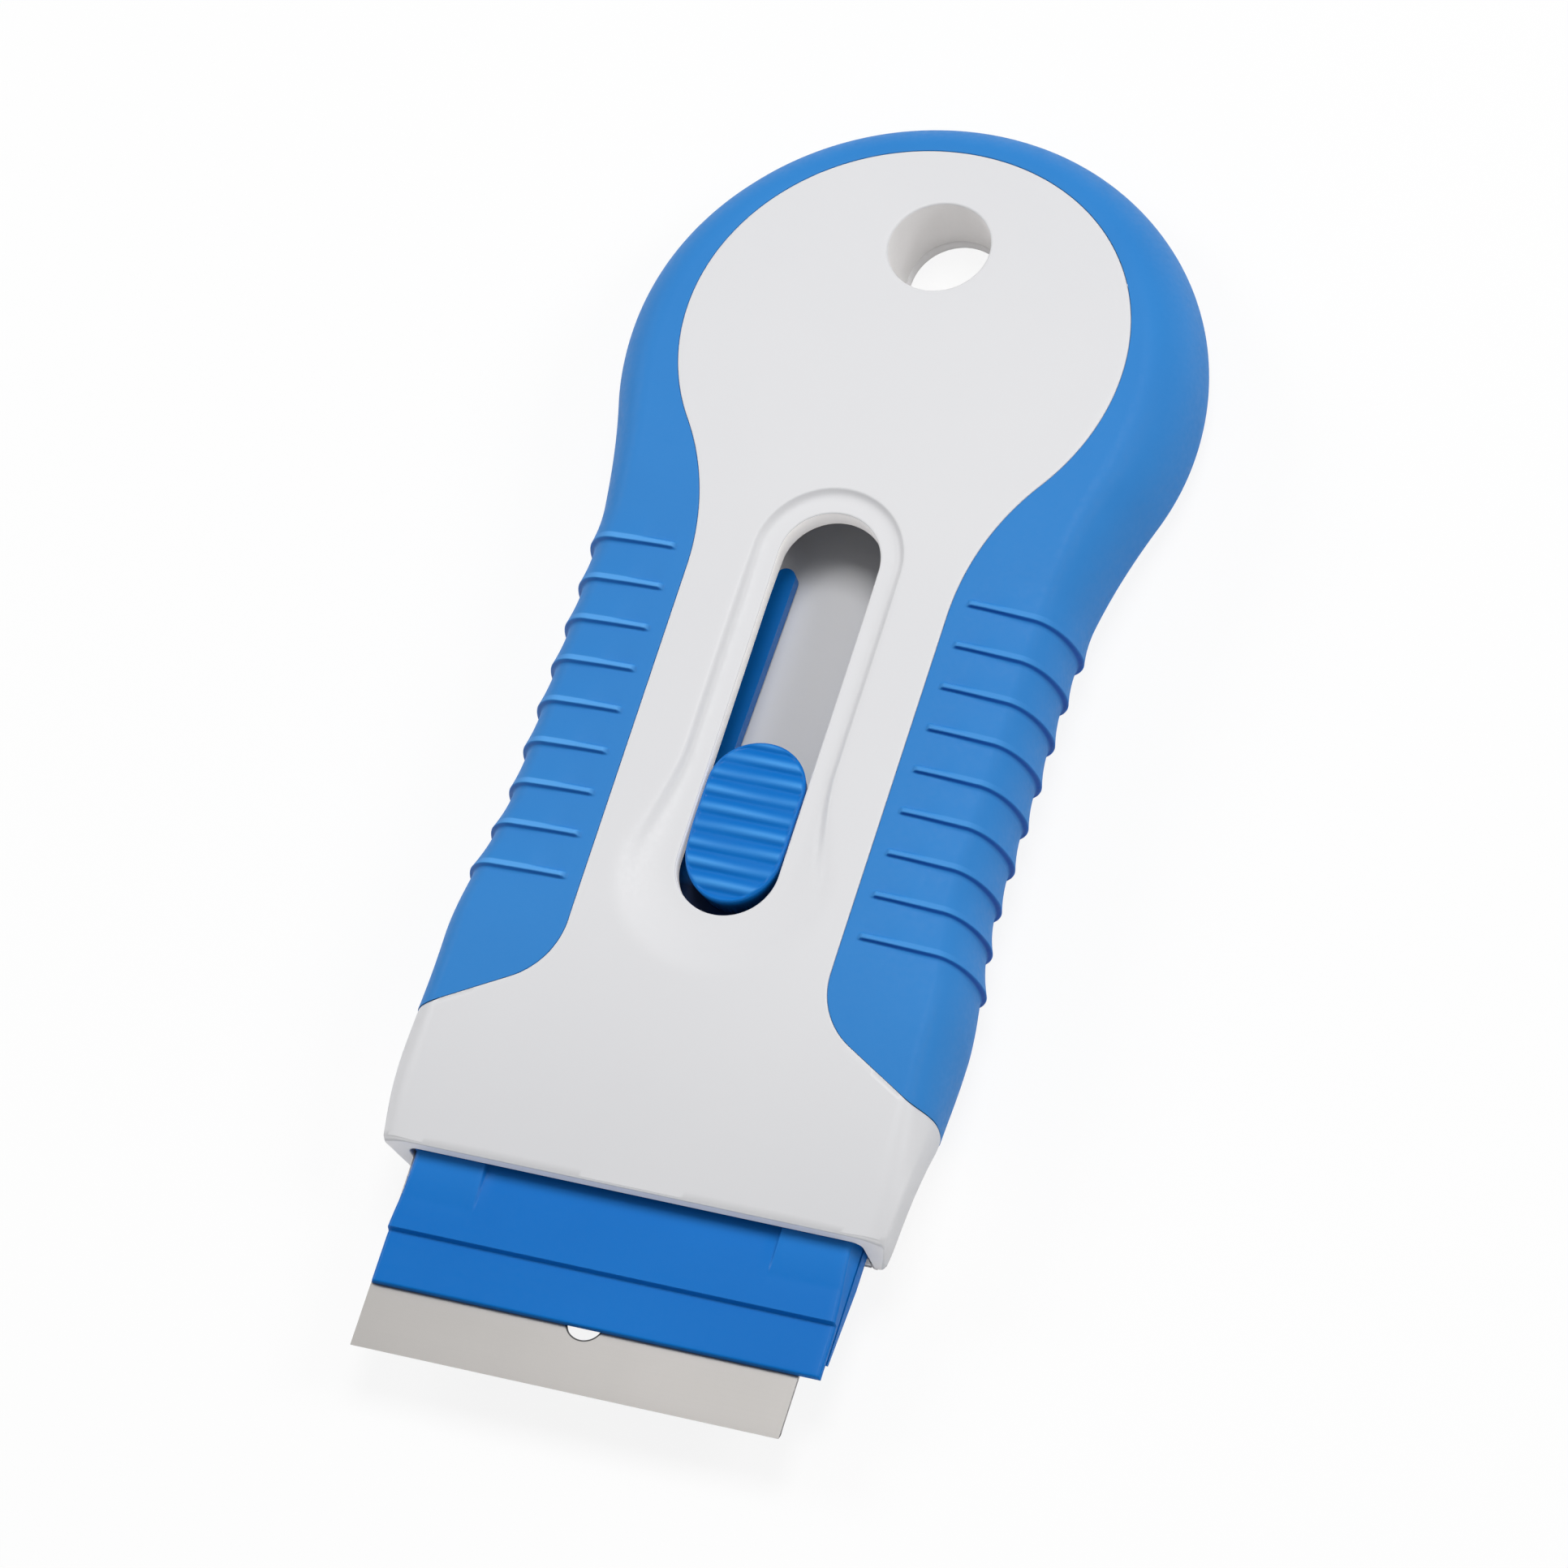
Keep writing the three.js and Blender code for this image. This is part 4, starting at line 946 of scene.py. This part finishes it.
# Blade carrier: right half as one bar whose inner and outer sides, bottom and top change along the length
carrier = {
    "lowZ": 4.0, "jawTipZ": 5.1, "jawZ": 5.4, "barZ": 6.45, "stemZ": 6.9, "armZ": 5.3,
    "jawFront": -10.4, "jawTaper": 7.4, "stopY": 0.6, "barEnd": 2.4, "shoulderEnd": 5.4, "raise": 25.65,
    "stemEnd": 33, "armEnd": 60.15, "holderHalf": 20.45, "shoulderHalf": 14, "stemHalf": 6.2,
    "armRoot": 4.95, "armTip": 4.35, "webRound": 1.2, "bevel": 0.06,
    # painted shade round the button's foot, fading in and out over these places, and a little on the arms
    "paintedShade": 1.0, "shadeFrom": 24.3, "shadeFull": 28.8, "shadeEnd": 30, "armShade": 0.12,
}


def carrierHalf():  # a block of four-cornered sections, a quarter-round fillet and an arm with a round end
    half, shoulder, stem = carrier["holderHalf"], carrier["shoulderHalf"], carrier["stemHalf"]
    low, jaw, bar = carrier["lowZ"], carrier["jawZ"], carrier["barZ"]
    high, arm = carrier["stemZ"], carrier["armZ"]
    block = np.array([
        (carrier["jawFront"], 0, half, carrier["jawTipZ"], jaw),
        (carrier["jawFront"] + carrier["jawTaper"], 0, half, low, jaw),
        (carrier["stopY"], 0, half, low, jaw),
        (carrier["stopY"], 0, half, low, bar),
        (carrier["barEnd"], 0, half, low, bar),
        (carrier["barEnd"], 0, shoulder, low, bar),
        (carrier["shoulderEnd"], 0, shoulder, low, bar),
        (carrier["shoulderEnd"], 0, stem, low, bar),
        (carrier["shadeFrom"], 0, stem, low, bar),
        (carrier["raise"], 0, stem, low, bar),
        (carrier["raise"], 0, stem, low, high),
        (carrier["shadeFull"], 0, stem, low, high),
        (carrier["shadeEnd"], 0, stem, low, high),
        (carrier["stemEnd"], 0, stem, low, high),
        (carrier["stemEnd"], 0, stem, low, arm),
    ])
    turn = quarterAngles(8)
    level = 0 * turn
    web = carrier["webRound"]
    webY, webX = carrier["stemEnd"] + web * (1 - np.cos(turn)), carrier["armRoot"] - web * (1 - np.sin(turn))
    fillet = np.stack([webY, webX, level + stem, level + low, level + arm], axis=-1)
    middle = (carrier["armTip"] + stem) / 2
    tip = stem - middle
    reach = tip * np.cos(turn)
    endY = carrier["armEnd"] - tip + tip * np.sin(turn)
    end = np.stack([endY, middle - reach, middle + reach, level + low, level + arm], axis=-1)
    y, inner, outer, low, high = join(block, fillet, end).T[:, :, None]
    x = join(inner, outer, outer, inner, axis=1)
    # painted shade: the stem round the button's foot, and a little on the arms
    atButton = (y >= carrier["raise"]) & (y <= carrier["shadeFull"])
    dark = carrier["paintedShade"] * atButton + carrier["armShade"] * (y > carrier["stemEnd"])
    crest = np.broadcast_to(-dark, x.shape)
    points = pointsOf(x, y, join(high, high, low, low, axis=1))
    return sheet(points, loop=True, caps=True, crest=crest)


makePiece(
    "bladeCarrier", bothSides([carrierHalf()]), bluePlastic,
    "carriage", "blade_carrier", sharpAngle=30, bevel=carrier["bevel"],
)

# Thumb button: rings from the foot up the wall, over the rounded edge and in to the middle line
button = {
    "half": 4.4, "frontY": 26.65, "length": 15.2, "frontTaper": 0.07, "taperEnd": 0.45,
    "footInset": 0.8, "wallInset": 0.1, "footZ": 4.1, "padZ": 10.44, "crown": 0.45, "edge": 0.3,
    "ridges": 9, "ridgeHeight": 0.3, "lean": 0.72, "margin": 0.1, "marginRun": 0.3, "rimShare": 0.35,
    # the power of the painted highlight on the ridges, and the painted shade on the two foot rings
    "unevenness": 0.25, "unevenAlong": 1.7, "unevenAcross": 0.5, "highlightPower": 3,
    "paintedShade": (1, 0.7), "cleanDepth": 0.8, "endPoints": 41, "padRings": 45,
}


# A long ring with round ends drawn inwards, its pad a parabola lengthways with leaning cosine ridges on it
def buttonRings():
    half, edge, count = button["half"], button["edge"], button["endPoints"]
    run = button["length"] - 2 * half
    middleY = button["frontY"] + button["length"] / 2
    sideY = np.linspace(-run / 2, run / 2, count)[1:-1]
    quarter = quarterAngles(count)
    angle = join(-quarter[::-1], 0 * sideY, quarter)
    slide = join(np.full(count, -run / 2), sideY, np.full(count, run / 2))
    angle = join(angle, halfTurn - angle[-2:0:-1])
    slide = join(slide, slide[-2:0:-1])
    outward, down = roundOver(7)
    wall = [[button["footInset"]], [button["wallInset"]]]
    pad = mix(edge, half, shares(button["padRings"] + 1)[1:, None])
    inset = join(wall, edge * outward, pad)
    drop = join([[0], [0]], edge * down, 0 * pad)
    x = (half - inset) * np.cos(angle)
    y = middleY + slide + (half - inset) * np.sin(angle)
    along = (y - button["frontY"]) / button["length"]
    x = x * (1 - button["frontTaper"] * smoothStep(-along, -button["taperEnd"], 0))
    crown = button["padZ"] + button["crown"] * (1 - (2 * along - 1) ** 2)
    phase = np.mod(along * button["ridges"] + 0.5, 1) ** button["lean"]
    ridge = 0.5 - 0.5 * np.cos(2 * halfTurn * phase)
    drift = button["ridges"] * button["unevenAlong"] * along + button["unevenAcross"] * x
    uneven = 1 - button["unevenness"] + button["unevenness"] * np.sin(drift)
    fade = smoothStep(inset, button["margin"], button["margin"] + button["marginRun"])
    z = crown - drop - button["ridgeHeight"] * mix(button["rimShare"], 1 - uneven * ridge, fade)
    z[0] = button["footZ"]
    z[1] = z[2] - button["cleanDepth"]
    # painted highlight on the ridge tops, and painted shade on the two foot rings of the wall
    crest = fade * uneven * ridge ** button["highlightPower"]
    crest[:2] = -np.array(button["paintedShade"])[:, None]
    return sheet(pointsOf(x, y, z), loop=True, crest=crest)


buttonGrid = buttonRings()
footRing = buttonGrid["points"][:1]
foot = sheet(join(footRing * (0, 1, 1), footRing), loop=True)
makePiece(
    "thumbButton", [buttonGrid, foot], bluePlastic,
    "carriage", "thumb_button", sharpAngle=50,
)

# Blade clamp: sections across the width, carried from front to rear, plus the pin in the blade's hole
clamp = {
    "half": 20.45, "frontY": -12.0, "rearY": 2.4,
    "lowZ": 5.85, "rearLowZ": 6.5, "stripZ": 6.45, "plateZ": 7.0,
    "stepY": -7.1, "stepRun": 0.16, "stepRows": (-0.4, -0.3, 0.3, 0.5), "stripStart": 0.5,
    "rampRise": 0.42, "rampStart": -4.2, "rampEnd": 0, "rampIn": 13.45, "rampEdge": 0.16,
    "edge": 0.22, "endRound": 0.4, "endDraw": 0.55, "drawIn": 3, "drawAhead": 1,
    # painted light on the ramp pads, growing towards the mouth
    "underStep": 0.4, "underGap": 0.02, "padLight": 0.16, "lightBehind": 1,
    "pinRadius": 0.45, "pinY": -11.35, "pinLowZ": 5.45, "pinSunk": 0.2, "pinSides": 24,
}


def roundedDrop(distance, radius):  # how far a rounded edge lies below the flat, at a distance from its end
    short = np.clip(radius - distance, 0, radius)
    return radius - np.sqrt(radius**2 - short**2)


# A strip, an S-shaped step up to the plate, straight ramps at both ends, and quarter-round edges
def clampSections():
    stripEnd, stepFront, stepBack, plateStart = clamp["stepY"] + np.array(clamp["stepRows"])
    y = join(
        clamp["frontY"] + clamp["edge"] * shares(9) ** 2,
        np.linspace(clamp["frontY"] + clamp["stripStart"], stripEnd, 14),
        np.linspace(stepFront, stepBack, 25),
        np.linspace(plateStart, clamp["underStep"] - clamp["underGap"], 30),
        np.linspace(clamp["underStep"], clamp["rearY"], 6),
    )[:, None]
    ramp = clamp["rampIn"] + clamp["rampEdge"] * np.linspace(-1, 1, 13)
    tip = clamp["half"] - clamp["endRound"] * (1 - shares(12)) ** 2
    plain = [np.linspace(0, ramp[0], 12), np.linspace(ramp[-1], tip[0], 12)]
    across = chain(plain[0], ramp, plain[1], tip)
    x = join(-across[:0:-1], across)[None]
    fromMiddle = np.abs(x)
    onRamp = smoothStep(fromMiddle, ramp[0], ramp[-1])
    climb = np.clip((y - clamp["rampStart"]) / (clamp["rampEnd"] - clamp["rampStart"]), 0, 1)
    rise = smoothStep(y, clamp["stepY"] - clamp["stepRun"], clamp["stepY"] + clamp["stepRun"] / 2)
    z = mix(clamp["stripZ"], clamp["plateZ"], rise) + clamp["rampRise"] * climb * onRamp
    z = z - roundedDrop(clamp["half"] - fromMiddle, clamp["endRound"])
    z = z - roundedDrop(y - clamp["frontY"], clamp["edge"])
    draw = clamp["endDraw"] * smoothStep(y, clamp["stepY"] - clamp["drawAhead"], clamp["rampEnd"])
    draw = draw * smoothStep(fromMiddle, clamp["half"] - clamp["drawIn"], clamp["half"])
    top = pointsOf(x - np.sign(x) * draw, y, z)
    low = np.where(y < clamp["underStep"], clamp["lowZ"], clamp["rearLowZ"])
    rings = join(top, pointsOf(np.array([[clamp["half"], -clamp["half"]]]), y, low), axis=1)
    # painted light: the ramp pads lighter than the pocket, which lies in the lip's shadow
    crest = np.zeros(rings.shape[:2])
    padLit = smoothStep(y, clamp["stepY"] + clamp["lightBehind"], clamp["rampEnd"])
    crest[:, :x.shape[1]] = clamp["padLight"] * onRamp * padLit
    return sheet(rings, loop=True, caps=True, crest=crest)


def clampPin():  # a round post
    angle = np.linspace(0, 2 * halfTurn, clamp["pinSides"], endpoint=False)
    radius = np.array([0, clamp["pinRadius"], clamp["pinRadius"], 0])[:, None]
    height = np.repeat([clamp["pinLowZ"], clamp["lowZ"] + clamp["pinSunk"]], 2)[:, None]
    return sheet(pointsOf(radius * np.cos(angle), clamp["pinY"] + radius * np.sin(angle), height), loop=True)


clampGrids = [clampSections(), clampPin()]
makePiece("bladeClamp", clampGrids, bluePlastic, "carriage", "blade_clamp")

# Blade: rings from the locating hole over the face to the border, round the edges and back under
bladeLow, bladeHigh = nodeBox("blade")
steel = {
    "low": bladeLow, "high": bladeHigh, "bevel": 1.0, "edge": 0.03, "hone": 0.3, "honeDrop": 0.006,
    "hole": (-1.05, -11.35), "holeRadius": 1.65, "lineWidth": 0.16, "lineRows": (0, 0.7, 1),
    "lineShade": 1, "sidePoints": (40, 80, 40, 80),
}


# Circles at the hole, the flat face, the border a little lower in front, and the ground bevel underneath
def bladeRings():
    leftX, frontY, lowZ = steel["low"]
    rightX, rearY, highZ = steel["high"]
    corners = [(rightX, frontY), (rightX, rearY), (leftX, rearY), (leftX, frontY)]
    ends = zip(corners, corners[1:] + corners[:1], steel["sidePoints"])
    border = chain(*[straight(start, end, count) for start, end, count in ends])[:-1]
    angle = np.arctan2(border[:, 1] - steel["hole"][1], border[:, 0] - steel["hole"][0])
    around = planOf(np.cos(angle), np.sin(angle))
    inner = steel["hole"] + around * steel["holeRadius"]
    line = inner + around * steel["lineWidth"] * np.array(steel["lineRows"])[:, None, None]

    def drawnIn(distance):  # the border, kept back from the cutting edge
        return planOf(border[:, 0], np.maximum(border[:, 1], frontY + distance))

    face = join(line[:-1], mix(line[-1], drawnIn(steel["hone"]), shares(12)[:, None, None]))
    back = mix(drawnIn(steel["bevel"]), inner, shares(8)[:, None, None])
    atFront = border[:, 1] < frontY + tiny
    top = raised(face, highZ)
    rim = raised(border, highZ - steel["honeDrop"] * atFront)[None]
    under = raised(border, np.where(atFront, highZ - steel["edge"], lowZ))[None]
    rings = join(top, rim, under, raised(back, lowZ), top[:1])
    return sheet(rings, loop=True, turned=True, crest=marked(rings, steel["lineShade"], [0, 1, -1]))


makePiece("razorBlade", [bladeRings()], bladeSteel, "carriage", "blade", sharpAngle=2)

# Screws: rings from the cross recess over the head, down the countersink and the shank to the point
screw = {
    "headRadius": 1.9, "headZ": 0.12, "dome": 0.06, "crownRadii": (1.45, 1.75), "crownRise": 0.02,
    "slotHalf": 0.25, "slotReach": 1.1, "recess": 0.62, "floorShare": 0.72, "floorDepth": 0.85,
    "coneZ": 1.07, "shank": 0.95, "endZ": 5.5, "tipZ": 6.5,
}


# A cross drawn in to its floor, then circles over the head, the cone and the shank to the tip
def screwRings(x, y):
    half, reach = screw["slotHalf"], screw["slotReach"]
    arm = np.array([(reach, -half), (reach, half), (half, half)])
    turns = [np.array(Matrix.Rotation(i * quarterTurn, 2)) for i in range(4)]
    corners = np.concatenate([arm @ turn.T for turn in turns])
    sides = zip(corners, np.roll(corners, -1, axis=0))
    cross = np.concatenate([straight(start, end, 5)[:-1] for start, end in sides])
    angle = np.arctan2(cross[:, 1], cross[:, 0])
    radii = [*screw["crownRadii"], screw["headRadius"], screw["shank"], screw["shank"], 0]
    recess = cross * np.array([0, screw["floorShare"], 1])[:, None, None]
    plan = join(recess, planOf(np.cos(angle), np.sin(angle)) * np.array(radii)[:, None, None])
    deep = screw["recess"] * np.array([1, screw["floorDepth"], 0])
    head = join(deep, [0, screw["crownRise"], screw["dome"]])
    heights = join(screw["headZ"] + head, [screw["coneZ"], screw["endZ"], screw["tipZ"]])
    return sheet(raised(plan + (x, y), heights[:, None]), loop=True)


screwNodes = [name for name in sorted(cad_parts) if name.startswith("rear_screw")]
for name in screwNodes:
    low, high = nodeBox(name)
    spot = (low + high) / 2
    makePiece("screw." + name[-1], [screwRings(spot[0], spot[1])], screwSteel, "housing", name)

# Studio: pale floor, four soft lamps, even sky, and the camera
studio = {
    "ambient": 0.2, "floorSize": 3.0, "floorWhite": 0.88,
    "floorTone": (0.9, 0.9, 0.9, 1), "floorRoughness": 0.9,
    "lamps": [
        {"name": "overLamp", "at": (0.06, 0.33, 0.83), "size": 0.35, "power": 4.0},
        {"name": "rightLamp", "at": (0.67, 0.24, 0.55), "size": 0.3, "power": 2.5},
        {"name": "leftLamp", "at": (-0.71, 0.19, 0.52), "size": 0.3, "power": 2.3},
        {"name": "frontLamp", "at": (0.06, -0.85, 0.2), "size": 0.3, "power": 0.8},
    ],
    "cameraAt": (0.30081, -0.342725, 0.87393),
    "right": (0.9331, 0.2935, -0.2079), "up": (-0.1883, 0.8911, 0.4131),
    "focalPixels": 14000, "imagePixels": 1932, "sensor": 36,
}


def seenWhite(tree):  # 1 where the camera looks straight at the background, 0 for the light on the object
    return addNode(tree, "ShaderNodeLightPath").outputs["Is Camera Ray"]


def makeFloor():
    half = studio["floorSize"] / 2
    corner = np.array([-half, half])
    x, y = np.meshgrid(corner, corner)
    mesh = bpy.data.meshes.new("floor")
    mesh.from_pydata(pointsOf(x, y, 0 * x).reshape(-1, 3).tolist(), [], [(0, 1, 3, 2)])
    floor = bpy.data.objects.new("floor", mesh)
    bpy.context.scene.collection.objects.link(floor)
    material = bpy.data.materials.new("paleFloor")
    material.use_nodes = True
    tree = material.node_tree
    matte = tree.nodes["Principled BSDF"]
    matte.inputs["Base Color"].default_value = studio["floorTone"]
    matte.inputs["Roughness"].default_value = studio["floorRoughness"]
    glow = addNode(tree, "ShaderNodeEmission").outputs["Emission"]
    seen = {0: seenWhite(tree), 1: studio["floorWhite"]}
    share = addNode(tree, "ShaderNodeMath", seen, operation="MULTIPLY").outputs["Value"]
    blend = addNode(tree, "ShaderNodeMixShader", {"Fac": share, 1: matte.outputs["BSDF"], 2: glow})
    feed(tree, tree.nodes["Material Output"].inputs["Surface"], blend.outputs["Shader"])
    mesh.materials.append(material)


def makeSky():
    world = bpy.data.worlds.new("studioSky")
    world.use_nodes = True
    bpy.context.scene.world = world
    tree = world.node_tree
    sky = tree.nodes["Background"]
    sky.inputs["Color"].default_value = (1, 1, 1, 1)
    levels = {"Value": seenWhite(tree), "To Min": studio["ambient"], "To Max": 1}
    feed(tree, sky.inputs["Strength"], addNode(tree, "ShaderNodeMapRange", levels).outputs["Result"])


def makeLamps():
    for lamp in studio["lamps"]:
        light = bpy.data.lights.new(lamp["name"], "AREA")
        light.size = lamp["size"]
        light.energy = lamp["power"]
        made = bpy.data.objects.new(lamp["name"], light)
        made.location = lamp["at"]
        made.rotation_euler = (-Vector(lamp["at"])).to_track_quat("-Z", "Y").to_euler()
        bpy.context.scene.collection.objects.link(made)


def makeCamera():
    lens = bpy.data.cameras.new("camera")
    lens.sensor_width = studio["sensor"]
    lens.lens = studio["focalPixels"] / studio["imagePixels"] * studio["sensor"]
    camera = bpy.data.objects.new("camera", lens)
    bpy.context.scene.collection.objects.link(camera)
    across, up = Vector(studio["right"]), Vector(studio["up"])
    turn = Matrix((across, up, across.cross(up))).transposed()
    camera.matrix_world = Matrix.Translation(studio["cameraAt"]) @ turn.to_4x4()
    bpy.context.scene.camera = camera


makeFloor()
makeSky()
makeLamps()
makeCamera()
bpy.context.scene.view_settings.view_transform = "Standard"
print("studio: floor, sky, lamps and camera")
